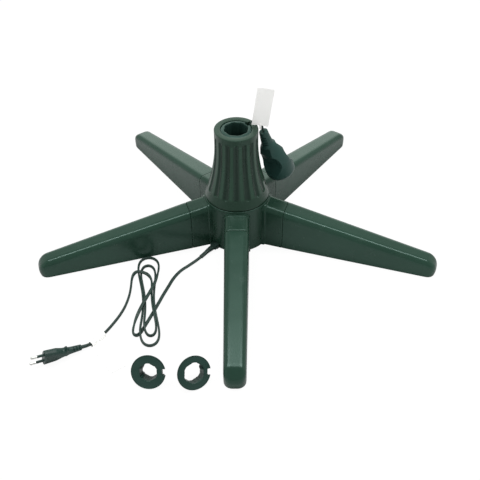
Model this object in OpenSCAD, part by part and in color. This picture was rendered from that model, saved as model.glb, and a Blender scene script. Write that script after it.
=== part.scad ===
// Rotating tree stand: five legs on a round hub, a fluted column that turns on
// a geared motor, and an outlet on the column that is fed through slip rings.
// Millimetres. The origin is on the floor, under the column's axis; +Z is up,
// and the front leg points along -Y.

/* [Legs] */
// Distance from the column's axis to a leg's tip
leg_reach = 335; // [290:1:380]
// Width of a leg where it meets the hub's stub
leg_root_w = 39.2; // [36:0.1:44]
// Width of a leg at its tip
leg_tip_w = 31.8; // [26:0.1:36]
// Height of a leg's back where it meets the stub
leg_root_h = 72.8; // [66:0.1:76]
// Height of a leg's back at its tip
leg_tip_h = 27.1; // [24:0.1:36]
// Radius of a leg's rounded shoulders and corners
leg_round_r = 9.4; // [6:0.1:11]
// Radius of the tip's corners seen from above.
leg_foot_r = 12.4; // [9.4:0.1:15]
// How far the top of the tip leans back over its foot
leg_tip_lean = 8.4; // [0:0.1:10]
// Wall of a leg's shell
leg_wall = 2.4; // [1.8:0.1:3]
// Distance from the axis to the seam between stub and leg
seam_r = 84; // [78:1:92]
// How far the hub's tenon reaches into a leg
tenon_len = 26; // [18:1:34]
// Distance from a leg's tip to the middle of its foot pad
pad_inset = 18; // [14:1:30]
// Radius of a foot pad
pad_r = 7; // [5:0.5:9]
// Thickness of a foot pad under its post
pad_t = 3; // [2:0.5:5]

/* [Hub] */
// Radius of the hub's round wall
hub_r = 53.5; // [53:0.5:58]
// Wall of the hub and its stubs
hub_wall = 2.5; // [2:0.1:3.5]
// Height of the hub's deck above the floor
hub_top_z = 83.5; // [82:0.5:86]
// Thickness of the deck
deck_t = 3; // [2.5:0.1:4]
// Thickness of the base cover
cover_t = 2.5; // [2:0.1:4]
// Direction of the cord gland, from +X
gland_az = -130.5; // [-134:0.5:-126]
// Distance from the axis to the gland's outer end
gland_reach = 68; // [62:1:76]

/* [Column] */
// Height of the column's rim above the floor
column_top_z = 206; // [196:1:220]
// Radius of the column at its rim
column_top_r = 34.3; // [34:0.1:37]
// Radius of the skirt at the column's foot
skirt_r = 52.2; // [51:0.1:53]
// Height at which the column starts to flare
flare_top_z = 185; // [170:1:190]
// Power of the flare's curve
flare_power = 2.05; // [1.6:0.05:2.6]
// Number of flutes
flute_count = 16; // [12:1:20]
// Depth of a flute
flute_depth = 1.9; // [1:0.1:2.4]
// Width of a flute, as an angle about the axis
flute_deg = 12.5; // [8:0.5:14]
// Direction of the cord slot in the rim, from +X
slot_az = 38; // [30:1:46]
// Width of the cord slot
slot_w = 8; // [7:0.5:9]

/* [Adapters] */
// Bore of the fitted adapter
pole_d = 36; // [32:1:36]
// Bore of the larger spare adapter
spare_large_d = 28; // [26:1:32]
// Bore of the smaller spare adapter
spare_small_d = 24; // [18:1:26]
// Radius of an adapter's flange
flange_r = 24.3; // [23.8:0.1:25]
// Thickness of the flange
flange_t = 3; // [2:0.1:4]
// Radius of the collar that fits the column's mouth
collar_r = 22.3; // [21.8:0.1:22.8]
// Height of the collar
collar_h = 4; // [3:0.5:8]
// Wall of an adapter's sleeve at its end
sleeve_wall = 2.2; // [1.6:0.1:3]
// Length of the fitted adapter, flange included
fitted_len = 24; // [18:1:30]
// Length of the larger spare adapter
spare_large_len = 16.5; // [14:0.5:30]
// Length of the smaller spare adapter
spare_small_len = 20; // [16:0.5:30]

/* [Drive] */
// Gear module
gear_module = 1; // [0.9:0.05:1.05]
// Teeth of the ring gear on the column's spindle
gear_teeth = 42; // [40:1:43]
// Teeth of the motor's pinion
pinion_teeth = 18; // [17:1:19]
// Face width of the gears
gear_w = 6; // [4:0.5:6]
// Radius of the spindle in its bush
spindle_r = 28; // [27:0.1:29]
// Radius of the motor's can
motor_r = 25; // [22:0.5:25]
// Height of the motor's can
motor_h = 20; // [16:0.5:20]
// Running clearance between moving pieces
run_gap = 0.3; // [0.25:0.05:0.4]
// Clearance of the spindle in its bush
bush_gap = 0.1; // [0.05:0.01:0.15]

/* [Mains cord and plug] */
// Width of the flat twin cord
cord_w = 5.4; // [4.8:0.1:6]
// Thickness of the flat twin cord
cord_t = 3.2; // [2.8:0.1:3.4]
// Length of the plug's body from its pin face to the strain relief
plug_len = 38; // [34:1:42]
// Width of the plug's face
plug_face_w = 31; // [28:0.5:35]
// Thickness of the plug's body
plug_t = 14; // [12:0.5:15]
// Spacing of the pins
pin_pitch = 18.6; // [17.5:0.1:19]
// Length of the pins
pin_len = 19; // [18:0.5:19]
// Radius of a pin
pin_r = 2; // [1.9:0.05:2.2]

/* [Outlet] */
// Direction in which the outlet hangs, from +X
outlet_az = 25; // [22:1:30]
// Distance from the axis to the middle of the outlet's face
outlet_foot_r = 81; // [73:0.5:86]
// Height of the middle of the outlet's face
outlet_foot_z = 101; // [93:1:106]
// Lean of the outlet against the column
outlet_lean = 20; // [12:1:24]
// Largest radius of the outlet
outlet_r = 24; // [21:0.5:25]
// Length of the outlet's body without its neck
outlet_len = 66.5; // [64:1:76]
// Radius of the outlet's neck
neck_r = 5.6; // [4.8:0.1:7]
// Length of the neck
neck_len = 28; // [20:1:32]

/* [Hidden] */
$fn = 64;
green = "#16352b";
dark_green = "#10261f";
eps = 0.02;

// Legs and stubs: one straight back line runs from the hub to each tip.
leg_count = 5;
leg_step = 360 / leg_count;
front_az = -90;
floor_gap = 0.6;
leg_slope = (leg_root_h - leg_tip_h) / (leg_reach - seam_r);
slope_deg = atan(leg_slope);
tenon_gap = 0.3;
seam_gap = 0.1;
tenon_round_r = leg_round_r - leg_wall - 0.2;
rib_t = 1.6;
function leg_w(r) = leg_root_w - (leg_root_w - leg_tip_w) * (r - seam_r) / (leg_reach - seam_r);
function leg_h(r) = leg_root_h - leg_slope * (r - seam_r);
pad_x = leg_reach - pad_inset;
pad_stem_r = pad_r * 0.45;

// Heights of the drive, from the floor up.
hub_in_r = hub_r - hub_wall;
cover_gap = 0.3;
motor_floor_z = cover_t + 3.5;
motor_top_z = motor_floor_z + motor_h;
ring_t = 0.6;
ring_bottom_z = motor_top_z + 4.4;
disc_t = 3;
disc_bottom_z = ring_bottom_z + ring_t;
gear_bottom_z = disc_bottom_z + disc_t;
gear_top_z = gear_bottom_z + gear_w;
cup_floor_z = gear_top_z + 6;
cup_floor_t = 3;
gear_pitch_r = gear_module * gear_teeth / 2;
pinion_pitch_r = gear_module * pinion_teeth / 2;
mesh_r = gear_pitch_r + pinion_pitch_r;
shaft_offset = 12;
motor_y = -(mesh_r - shaft_offset);
ear_x = motor_r + 4;
shaft_r = 3.5;

// Bearing stack between hub and column.
thrust_in_r = 35;
thrust_out_r = 44;
thrust_groove = 1;
cup_flange_z = hub_top_z + 3;
cup_flange_t = 3;
cup_flange_r = skirt_r - 5.7;
thrust_top_z = cup_flange_z - run_gap;
skirt_z = hub_top_z + 1.5;
bush_out_r = spindle_r + bush_gap + 2.9;
bush_bottom_z = hub_top_z - 17.5;
cup_bore_r = 19;
cup_wall = 2.4;
spindle_wall = 2.6;
cup_top_z = 130;
cord_run_r = (cup_bore_r + cup_wall + spindle_r - spindle_wall) / 2;
cup_screw_r = 38;
screw_len = 10;
screw_hole_r = 1.8;
screw_seat_r = 3.5;

// Column.
flare_steps = 12;
function column_r(z) =
    column_top_r + (skirt_r - column_top_r)
    * pow(max(0, flare_top_z - z) / (flare_top_z - skirt_z - 1.5), flare_power);
column_wall = 3.4;
mouth_h = 18;
seat_gap = 0.3;
mouth_r = collar_r + seat_gap;
seat_z = column_top_z - flange_t;
flute_foot_z = skirt_z + 14;
flute_head_z = column_top_z - 9;
notch_in_r = 19.3;
notch_w = slot_w + 1;

// Adapters that lie on the floor, by the middle of the flange's face.
spare_small_at = [-119, -323];
spare_large_at = [-55, -324];
spare_small_az = -96;
spare_large_az = -61;
spare_small_spin = 5;
spare_large_spin = -18;

// Outlet: its two flats, the recess in its face and where its neck ends.
flat_az = 23;
scallop = [
    [outlet_r + 2, 11], [outlet_r - 3, 12.5], [11, 28], [9.5, 33], [9.5, 40], [10.5, 46],
    [12.6, 50.5], [8.2, outlet_len - 1], [outlet_r + 2, outlet_len - 1]
];
recess_l = 36;
recess_w = 15;
recess_depth = 9;
face_t = 3;
socket_pitch = 19;
outlet_foot = [
    outlet_foot_r * cos(outlet_az), outlet_foot_r * sin(outlet_az), outlet_foot_z
];
outlet_dir = [
    -sin(outlet_lean) * cos(outlet_az), -sin(outlet_lean) * sin(outlet_az), cos(outlet_lean)
];
neck_top = outlet_foot + outlet_dir * (outlet_len + neck_len);
slot_dir = [cos(slot_az), sin(slot_az), 0];
slot_side = [-sin(slot_az), cos(slot_az), 0];
hang_side = [-sin(outlet_az), cos(outlet_az), 0];

// Route of the outlet's cord: up beside the cup, out over the rim and down into
// the outlet's neck. The last number turns its wide side from slot to outlet.
outlet_route = [
    concat(slot_dir * cord_run_r + [0, 0, cup_floor_z - 2], [0]),
    concat(slot_dir * cord_run_r + [0, 0, cup_floor_z + 14], [0]),
    concat(slot_dir * cord_run_r + [0, 0, 90], [0]),
    concat(slot_dir * cord_run_r + [0, 0, 120], [0]),
    concat(slot_dir * cord_run_r + [0, 0, 150], [0]),
    concat(slot_dir * cord_run_r + [0, 0, column_top_z - 28], [0]),
    concat(slot_dir * (cord_run_r + 0.6) + [0, 0, column_top_z - 18], [0]),
    concat(slot_dir * (cord_run_r + 2.7) + [0, 0, column_top_z - 9], [0]),
    concat(slot_dir * (cord_run_r + 6.4) + [-0.1, -0.2, column_top_z - 1.4], [0]),
    [28.6, 19.2, column_top_z + 2.7, 0.3],
    [34.3, 19.8, column_top_z + 2.3, 0.7],
    [39, 20, column_top_z - 2.2, 1],
    concat(neck_top + outlet_dir * 6, [1]),
    concat(neck_top, [1])
];

// Labels: blank, folded round the cord.
label_t = 0.6;
mains_label_at = [-202.8, -246.3];
mains_label_az = -54;
mains_sleeve_az = -38;
mains_label_w = 26;
mains_label_l = 66;
outlet_label_w = 26;
outlet_label_l = 64;
outlet_label_at = [23.6, 8, column_top_z + 2];
outlet_label_turn = 8;
strap_at = [37.4, 20, column_top_z - 1.8];
strap_in = [7, 10.6];
strap_w = 3;

// Plug: [distance from the cord's end, half width, half thickness].
relief_len = 25;
relief_stations = [[0, 3.5, 3.3], [6, 4.2, 3.8], [relief_len, 5.3, 4.6]];
plug_stations = [
    [relief_len + 3, 7.4, 5.5], [relief_len + 6.5, 9.4, 6.1], [relief_len + 10, 8.3, 6.5],
    [relief_len + 17, 8.8, 6.8], [relief_len + 24, plug_face_w / 2 - 4.4, plug_t / 2],
    [relief_len + 31, plug_face_w / 2 - 1.6, plug_t / 2],
    [relief_len + plug_len - 1.5, plug_face_w / 2, plug_t / 2],
    [relief_len + plug_len, plug_face_w / 2 - 0.9, plug_t / 2 - 0.7]
];
plug_back = [-216.6, -260.6, 5];
plug_az = 209.5;
plug_pitch = 9.2;
plug_roll = 70;
plug_dir = [
    cos(plug_az) * cos(plug_pitch), sin(plug_az) * cos(plug_pitch), sin(plug_pitch)
];

// Hank: nested loops, drawn in at the waist; each turn is a little smaller.
hank_at = [-133, -165];
hank_turn = 2.9;
hank_along = [-sin(hank_turn), cos(hank_turn)];
hank_across = [cos(hank_turn), sin(hank_turn)];
hank_from = -0.145;
hank_to = 1.87;
hank_rings = 24;
hank_half = 99;
hank_shrink = 19;
hank_shift = -4.5;
hank_slant = -6.8;
hank_offset = -2;
hank_waist = 10;
hank_waist_step = 3.2;
hank_bulge = 27;
hank_bulge_step = 8.8;
// Where the hank climbs over the lead, how high and over what share of a turn.
lead_crossings = [0.367, 0.715, 1.372, 1.69];
hump_h = 3.9;
hump_w = 0.045;
start_h = 6.1;
cord_flat_z = cord_t / 2 + 0.1;
cord_edge_z = cord_w / 2 + 0.1;
gland_z = 5.5;
gland_dir = [cos(gland_az), sin(gland_az), 0];
function hump(q, at) = exp(-pow((q - at) / hump_w, 2));
function hank_z(q) =
    cord_edge_z + start_h * hump(q, hank_from)
    + hump_h * (hump(q, lead_crossings[0]) + hump(q, lead_crossings[1])
        + hump(q, lead_crossings[2]) + hump(q, lead_crossings[3]));
function hank_point(q) =
    let (
        a = 360 * q,
        along = hank_shift + (hank_half - hank_shrink * q) * cos(a),
        across = hank_offset + hank_slant * cos(a)
            - sin(a) * (hank_waist - hank_waist_step * q
                + (hank_bulge - hank_bulge_step * q) * pow(cos(a), 2)),
        p = hank_at + along * hank_along + across * hank_across
    )
    [p[0], p[1], hank_z(q), 90];
hank_steps = round((hank_to - hank_from) * hank_rings);
hank_route = [
    for (i = [0:hank_steps]) hank_point(hank_from + (hank_to - hank_from) * i / hank_steps)
];
hank_end = hank_route[hank_steps];

// Routes, chosen by hand: x, y, z and the roll of the cord's wide side, which
// is 0 where the cord lies flat and 90 where it stands on edge.
lead_route = [
    [gland_dir[0] * gland_reach, gland_dir[1] * gland_reach, gland_z, 0],
    [-49.4, -57.8, 5.2, 0],
    [-56, -65.5, 3.8, 0],
    [-66, -76, 2.2, 0],
    [-79, -89, 1.7, 0],
    [-91, -101, 1.7, 0],
    [-101, -118, 1.7, 0],
    [-107.5, -136, 1.7, 0],
    [-113.5, -152.5, 1.7, 0],
    [-119.5, -171, 1.7, 0],
    [-126, -191, 1.7, 0],
    [-132, -208, 1.7, 0],
    [-137, -222, 1.7, 0],
    [-140.5, -231.5, 1.8, 0],
    [-144, -237.5, 2.5, 35],
    [-148.5, -238.5, 3, 75],
    [-152, -234, 3.1, 88],
    [-152.6, -226, 3.2, 88],
    [-152, -217, 3.6, 70],
    [-150.6, -208, 4.9, 35],
    [-147.4, -196, 7.2, 0],
    [-143.4, -182, 8, 0],
    [-138.8, -167, 8, 0],
    [-133.6, -151.5, 8, 0],
    [-129.4, -136, 8.2, 10],
    [-126.8, -122, 8.7, 50],
    hank_route[0]
];
tail_route = [
    hank_end,
    [-137.2, -120.5, 5, 80],
    [-142.2, -115, 7.2, 40],
    [-149, -111.4, 8.1, 5],
    [-156, -109.2, 8.1, 5],
    [-161.6, -109.4, 7, 30],
    [-165.6, -113.5, 5, 65],
    [-167.2, -122.5, 3.4, 88],
    [-166.6, -140, 2.8, 90],
    [-167.2, -160, 2.8, 90],
    [-170.6, -181, 2.8, 90],
    [-176, -198, 2.8, 90],
    [-182.5, -213, 2.8, 90],
    [-190, -227.5, 2.8, 90],
    [-197, -238.5, 2.8, 90],
    [-204, -248.5, 3, 88],
    [-210.3, -255.6, 3.7, 82],
    concat(plug_back, [plug_roll])
];

// ---------------------------------------------------------------- functions

function unit(v) = v / norm(v);
function xyz(p) = [p[0], p[1], p[2]];

// Point on a smooth curve through the route's points, at share t of span i.
function curve_point(p, i, t) =
    let (
        a = p[max(i - 1, 0)], b = p[i], c = p[i + 1], d = p[min(i + 2, len(p) - 1)]
    )
    0.5 * (2 * b + (c - a) * t + (2 * a - 5 * b + 4 * c - d) * t * t
        + (3 * b - a - 3 * c + d) * t * t * t);
function smooth_route(p, n) = [
    for (i = [0:len(p) - 2]) for (k = [0:n - 1]) curve_point(p, i, k / n),
    p[len(p) - 1]
];
function along_route(p, i) = unit(xyz(p[min(i + 1, len(p) - 1)]) - xyz(p[max(i - 1, 0)]));

// Wide side of a cord that lies on the floor, from its roll.
function wide_on_floor(p, i) =
    let (
        t = along_route(p, i),
        side = unit(cross(t, [0, 0, 1])),
        top = cross(side, t)
    )
    cos(p[i][3]) * side + sin(p[i][3]) * top;
// Ring of points round the cord's section at route point i.
function cord_ring(c, t, wide, w, h, sides) =
    let (
        u = unit(wide - t * (wide * t)),
        v = cross(t, u)
    )
    [for (k = [0:sides - 1]) let (a = 360 * (k + 0.5) / sides)
        c + u * cos(a) * w / 2 / cos(180 / sides) + v * sin(a) * h / 2 / cos(180 / sides)];
function end_or_route(p, i, first, last) =
    i == 0 && first != undef ? unit(first)
    : i == len(p) - 1 && last != undef ? unit(last)
    : along_route(p, i);
function floor_rings(p, sides, first, last) = [
    for (i = [0:len(p) - 1]) cord_ring(
        xyz(p[i]), end_or_route(p, i, first, last), wide_on_floor(p, i), cord_w, cord_t, sides)
];
// Least distance between the tube's rings that are not neighbours.
function least_gap(rings, apart) = min([
    for (i = [0:len(rings) - 1 - apart]) for (j = [i + apart:len(rings) - 1])
        for (a = rings[i]) for (b = rings[j]) norm(a - b)
]);

// Polar point and the involute's angle.
function polar(r, a) = [r * cos(a), r * sin(a)];
function inv_deg(a) = tan(a) * 180 / PI - a;

// ------------------------------------------------------------------- shapes

module ring(r_out, r_in, h) {
    difference() {
        cylinder(r = r_out, h = h);
        translate([0, 0, -1]) cylinder(r = r_in, h = h + 2);
    }
}

// Tube through a list of rings, closed at both ends.
module tube_of(rings) {
    n = len(rings[0]);
    m = len(rings);
    polyhedron(
        points = [for (r = rings) each r],
        faces = concat(
            [[for (k = [0:n - 1]) k]],
            [for (i = [0:m - 2]) for (k = [0:n - 1]) let (k2 = (k + 1) % n)
                each [[i * n + k, (i + 1) * n + k, (i + 1) * n + k2],
                    [i * n + k, (i + 1) * n + k2, i * n + k2]]],
            [[for (k = [0:n - 1]) (m - 1) * n + n - 1 - k]]
        )
    );
}

// Round wire through points.
module wire(points, r) {
    route = smooth_route(points, 4);
    tube_of([for (i = [0:len(route) - 1]) let (t = along_route(route, i))
        cord_ring(xyz(route[i]), t, abs(t[2]) > 0.9 ? [1, 0, 0] : [0, 0, 1], 2 * r, 2 * r, 8)]);
}

// Section of a stub: straight sides and a back with rounded shoulders.
module back_section(w, r) {
    deep = 120;
    translate([-w / 2, -deep]) square([w, deep - r]);
    translate([-w / 2 + r, -deep]) square([w - 2 * r, deep]);
    for (s = [-1, 1]) translate([s * (w / 2 - r), -r]) circle(r = r);
}

// Length of stub section, sloping with the leg's back, cut to x0..x1 and z0 up.
module sloped_bar(w, r, drop, x0, x1, z0) {
    intersection() {
        translate([seam_r, 0, leg_h(seam_r) - drop]) rotate([0, slope_deg, 0])
            translate([-70, 0, 0]) rotate([90, 0, 90])
                linear_extrude(130) back_section(w, r);
        translate([x0, -w, z0]) cube([x1 - x0, 2 * w, 120]);
    }
}

// Rounded, tapered bar from x0 to the leg's tip, set in by inset on every side.
module leg_form(x0, inset, z0) {
    r = leg_round_r - inset;
    foot_x = leg_reach - leg_foot_r;
    top_x = leg_reach - leg_round_r - leg_tip_lean;
    hull() for (s = [-1, 1]) {
        translate([x0, s * (leg_w(x0) / 2 - leg_round_r), z0]) cylinder(r = r, h = 0.5, $fn = 24);
        translate([x0, s * (leg_w(x0) / 2 - leg_round_r), leg_h(x0) - leg_round_r])
            sphere(r = r, $fn = 24);
        translate([foot_x, s * (leg_tip_w / 2 - leg_foot_r), z0])
            cylinder(r = leg_foot_r - inset, h = 0.5, $fn = 32);
        translate([top_x, s * (leg_tip_w / 2 - leg_round_r), leg_h(top_x) - leg_round_r])
            sphere(r = r, $fn = 24);
    }
}

// Spur gear with involute flanks.
module spur(teeth, face, backlash) {
    rp = gear_module * teeth / 2;
    ra = rp + gear_module;
    rr = rp - 1.25 * gear_module;
    rb = rp * cos(20);
    half = 90 / teeth - backlash / 4 / rp * 180 / PI + inv_deg(20);
    radii = [for (k = [0:4]) max(rb, rr) + (ra - max(rb, rr)) * k / 4];
    flank = [for (r = radii) [r, half - inv_deg(acos(min(1, rb / r)))]];
    linear_extrude(face) polygon([
        for (i = [0:teeth - 1]) each concat(
            [polar(rr, i * 360 / teeth - flank[0][1])],
            [for (f = flank) polar(f[0], i * 360 / teeth - f[1])],
            [for (k = [4:-1:0]) polar(flank[k][0], i * 360 / teeth + flank[k][1])],
            [polar(rr, i * 360 / teeth + flank[0][1])]
        )
    ]);
}

// Pan-head screw, head down, with its shank along +Z.
module pan_screw(head_r, head_h, shank_r, length) {
    difference() {
        cylinder(r = head_r, h = head_h, $fn = 32);
        for (a = [0, 90]) rotate([0, 0, a])
            translate([-head_r * 0.6, -0.4, -1]) cube([head_r * 1.2, 0.8, 1.8]);
    }
    cylinder(r = shank_r, h = head_h + length, $fn = 32);
}

// ---------------------------------------------------------------------- hub

post_at_r = hub_in_r - 5;
post_r = 4.5;
pilot_r = 1.4;
base_screw_head_r = 3.2;
ear_r = 4;
vent_at = [20, 24, 28];
vent_size = [1.6, 10];

module at_posts() {
    for (k = [0:leg_count - 2])
        rotate([0, 0, front_az + (k + 0.5) * leg_step]) translate([post_at_r, 0, 0]) children();
}

module hub_housing() {
    stub_inner_w = leg_root_w - 2 * hub_wall;
    tenon_w = leg_w(seam_r + tenon_len) - 2 * (leg_wall + tenon_gap);
    color(green) difference() {
        union() {
            rotate_extrude() polygon([
                [hub_in_r, floor_gap], [hub_r, floor_gap], [hub_r, hub_top_z - 1.5],
                [hub_r - 1.5, hub_top_z], [hub_in_r, hub_top_z]
            ]);
            translate([0, 0, hub_top_z - deck_t]) cylinder(r = hub_in_r + 1, h = deck_t);
            translate([0, 0, bush_bottom_z]) cylinder(r = bush_out_r + 3, h = hub_top_z - bush_bottom_z);
            at_posts() translate([0, 0, cover_t]) cylinder(r = post_r, h = hub_top_z - cover_t - 1);
            for (k = [0:leg_count - 1]) rotate([0, 0, front_az + k * leg_step]) {
                sloped_bar(leg_root_w, leg_round_r, 0, hub_in_r - 2, seam_r - seam_gap, floor_gap);
                sloped_bar(tenon_w, tenon_round_r, leg_wall + tenon_gap,
                    seam_r - 1, seam_r + tenon_len, 4);
            }
        }
        translate([0, 0, -1]) cylinder(r = bush_out_r, h = hub_top_z + 2);
        translate([0, 0, hub_top_z - thrust_groove])
            ring(thrust_out_r + 0.1, thrust_in_r - 0.1, thrust_groove + 1);
        for (k = [0:leg_count - 1]) rotate([0, 0, front_az + k * leg_step]) {
            sloped_bar(stub_inner_w, tenon_round_r, hub_wall, post_at_r, seam_r - hub_wall, -1);
            sloped_bar(tenon_w - 2 * hub_wall, tenon_round_r - hub_wall,
                leg_wall + tenon_gap + hub_wall, seam_r - hub_wall - 1, seam_r + tenon_len + 1, -1);
        }
        at_posts() cylinder(r = pilot_r, h = cover_t + 12);
        rotate([0, 0, gland_az]) translate([hub_in_r - 3, -4.25, gland_z - 3])
            cube([8, 8.5, 6]);
    }
}

module base_cover() {
    color(dark_green) difference() {
        union() {
            cylinder(r = hub_in_r - cover_gap, h = cover_t);
            for (s = [-1, 1]) translate([s * ear_x, motor_y, 0])
                cylinder(r = ear_r, h = motor_top_z - 2);
        }
        at_posts() {
            translate([0, 0, -1]) cylinder(r = screw_hole_r, h = cover_t + 2);
            translate([0, 0, -1]) cylinder(r = base_screw_head_r + 0.3, h = 2.2);
        }
        for (s = [-1, 1]) translate([s * ear_x, motor_y, motor_top_z - screw_len - 2])
            cylinder(r = pilot_r, h = 2 * screw_len);
        for (k = [0:leg_count - 1]) rotate([0, 0, front_az + k * leg_step]) for (d = vent_at)
            translate([d, -vent_size[1] / 2, -1]) cube(concat(vent_size, [cover_t + 2]));
    }
}

module base_screws() {
    color("#8a8d90") at_posts() translate([0, 0, 0.3])
        pan_screw(base_screw_head_r, 0.9, pilot_r, cover_t + screw_len - 2);
}

module bearing_bush() {
    color("#d9d6cc") translate([0, 0, bush_bottom_z])
        ring(bush_out_r, spindle_r + bush_gap, hub_top_z - bush_bottom_z);
}

module thrust_ring() {
    color("#d9d6cc") translate([0, 0, hub_top_z - thrust_groove])
        ring(thrust_out_r, thrust_in_r, thrust_top_z - hub_top_z + thrust_groove);
}

module gear_motor() {
    color("#a9acae") translate([0, motor_y, 0]) difference() {
        union() {
            translate([0, 0, motor_floor_z]) cylinder(r = motor_r, h = motor_h);
            translate([0, 0, motor_floor_z - 1]) cylinder(r = motor_r * 0.6, h = 2);
            for (s = [-1, 1]) {
                translate([s * ear_x, 0, motor_top_z - 2]) cylinder(r = ear_r, h = 2);
                translate([min(0, s * ear_x), -ear_r, motor_top_z - 2]) cube([ear_x, 2 * ear_r, 2]);
            }
            translate([0, -shaft_offset, motor_top_z - 1]) cylinder(r = 6, h = 2.6);
        }
        translate([0, -shaft_offset, motor_top_z - 8]) cylinder(r = shaft_r + 0.15, h = 20);
        for (s = [-1, 1]) translate([s * ear_x, 0, motor_top_z - 5])
            cylinder(r = pilot_r + 0.3, h = 10);
    }
    color("#a9acae") translate([0, 0, cover_t])
        translate([0, motor_y, 0]) ring(6, 4, motor_floor_z - 1 - cover_t);
}

module motor_screws() {
    color("#8a8d90") for (s = [-1, 1]) translate([s * ear_x, motor_y, motor_top_z + 2])
        rotate([180, 0, 0]) pan_screw(2.8, 2, pilot_r, screw_len);
}

// -------------------------------------------------------- current to column

slip_in_r = 9;
slip_w = 3;
slip_step = 6;
lead_hole_r = 17.2;
brush_y = slip_in_r + slip_w / 2;
block_top_z = ring_bottom_z - 6;

module brush_block() {
    color("#2b2b2b") difference() {
        translate([-7, motor_r + motor_y + 0.5, cover_t]) cube([14, 14.5, block_top_z - cover_t]);
        for (k = [0, 1]) translate([0, brush_y + k * slip_step, block_top_z - 6])
            cylinder(r = 1.5, h = 10, $fn = 32);
    }
}

module brush_contacts() {
    color("#8c6a3c") for (k = [0, 1]) translate([0, brush_y + k * slip_step, block_top_z - 6])
        cylinder(r = 1.4, h = ring_bottom_z - run_gap - block_top_z + 6, $fn = 32);
}

terminal_at = [-38.5, -4, cover_t];
terminal_size = [13, 24, 12];
lead_r = 0.9;
lead_gap = 0.1;
lead_step = 2.2;

module terminal_block() {
    color("#d8d8d2") translate(terminal_at) difference() {
        cube(terminal_size);
        for (k = [0:2]) translate([6.5, 4 + 8 * k, 6]) cylinder(r = 2, h = 8, $fn = 32);
    }
}

module internal_leads() {
    color("#5a4632") for (k = [0, 1]) {
        wire([
            gland_dir * (hub_in_r - 3 - lead_gap) + [2.6, -1.3, 0] * k + [0, 0, gland_z],
            [terminal_at[0] + 1.5 + lead_step * k, terminal_at[1] - 16, gland_z],
            [terminal_at[0] + 1.5 + lead_step * k, terminal_at[1] - 6, gland_z],
            [terminal_at[0] + 1.5 + lead_step * k, terminal_at[1] - lead_gap, gland_z]
        ], lead_r);
        wire([
            [terminal_at[0] + terminal_size[0] + lead_gap, 10 + 5 * k, 6],
            [terminal_at[0] + terminal_size[0] + 5, 10 + 5 * k, 6],
            [-7 - lead_gap, 10 + 5 * k, 6]
        ], lead_r);
    }
}

module cord_gland() {
    color(dark_green) rotate([0, 0, gland_az]) translate([0, 0, gland_z]) difference() {
        union() {
            translate([hub_in_r - 3, -4, -2.75]) cube([7, 8, 5.5]);
            translate([hub_in_r - 3, -5.5, -2.7]) cube([2.6, 11, 5.9]);
            translate([hub_r + 0.2, -6.5, -4.6]) cube([4, 13, 9.4]);
            translate([hub_r + 4, -5.6, -4]) cube([4, 11.2, 8]);
            translate([hub_r + 8, -4.8, -3.3]) cube([gland_reach - hub_r - 8, 9.6, 6.6]);
        }
        for (x = [hub_r + 5.5, hub_r + 9.5]) for (s = [-1, 1])
            translate([x, s * 5.6 - 1, -5]) cube([1.1, 2, 10]);
        translate([hub_in_r - 6, -cord_w / 2, -cord_t / 2]) cube([7, cord_w, cord_t]);
    }
}

// ------------------------------------------------------------------- column

module trunk_column() {
    flare_z = [for (i = [0:flare_steps])
        skirt_z + 1.5 + (flare_top_z - skirt_z - 1.5) * i / flare_steps];
    skin = flute_depth + column_wall;
    in_z0 = cup_flange_z + cup_flange_t;
    in_z1 = column_top_z - mouth_h;
    color(green) difference() {
        union() {
            rotate_extrude() polygon(concat(
                [[cup_flange_r + 0.3, skirt_z], [skirt_r, skirt_z]],
                [for (z = flare_z) [column_r(z), z]],
                [[column_top_r, column_top_z - 1], [column_top_r - 1, column_top_z],
                    [mouth_r, column_top_z], [mouth_r, in_z1], [column_r(in_z1) - skin, in_z1 - 3]],
                [for (i = [flare_steps:-1:0]) if (flare_z[i] > in_z0 + 4 && flare_z[i] < in_z1 - 4)
                    [column_r(flare_z[i]) - skin, flare_z[i]]],
                [[column_r(in_z0) - skin, in_z0], [cup_flange_r + 0.3, in_z0]]
            ));
            for (k = [0:3]) rotate([0, 0, 45 + 90 * k + slot_az]) translate([cup_screw_r, 0, in_z0])
                cylinder(r = 4, h = 15);
        }
        translate([0, 0, seat_z]) cylinder(r = flange_r + seat_gap, h = flange_t + 1);
        for (k = [0:flute_count - 1])
            rotate([0, 0, front_az + k * 360 / flute_count - flute_deg / 2])
                rotate_extrude(angle = flute_deg) polygon(concat(
                    [[column_r(flute_foot_z), flute_foot_z]],
                    [for (i = [0:8]) let (z = flute_foot_z + 5 + (flute_head_z - 2 - flute_foot_z - 5) * i / 8)
                        [column_r(z) - flute_depth, z]],
                    [[column_r(flute_head_z), flute_head_z], [column_top_r + 24, flute_head_z],
                        [column_top_r + 24, flute_foot_z]]
                ));
        rotate([0, 0, slot_az]) translate([mouth_r - 3, -slot_w / 2, column_top_z - mouth_h - 4])
            cube([20, slot_w, mouth_h + 6]);
        for (k = [0:3]) rotate([0, 0, 45 + 90 * k + slot_az]) translate([cup_screw_r, 0, in_z0 - 1])
            cylinder(r = pilot_r, h = 11);
    }
}

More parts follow.
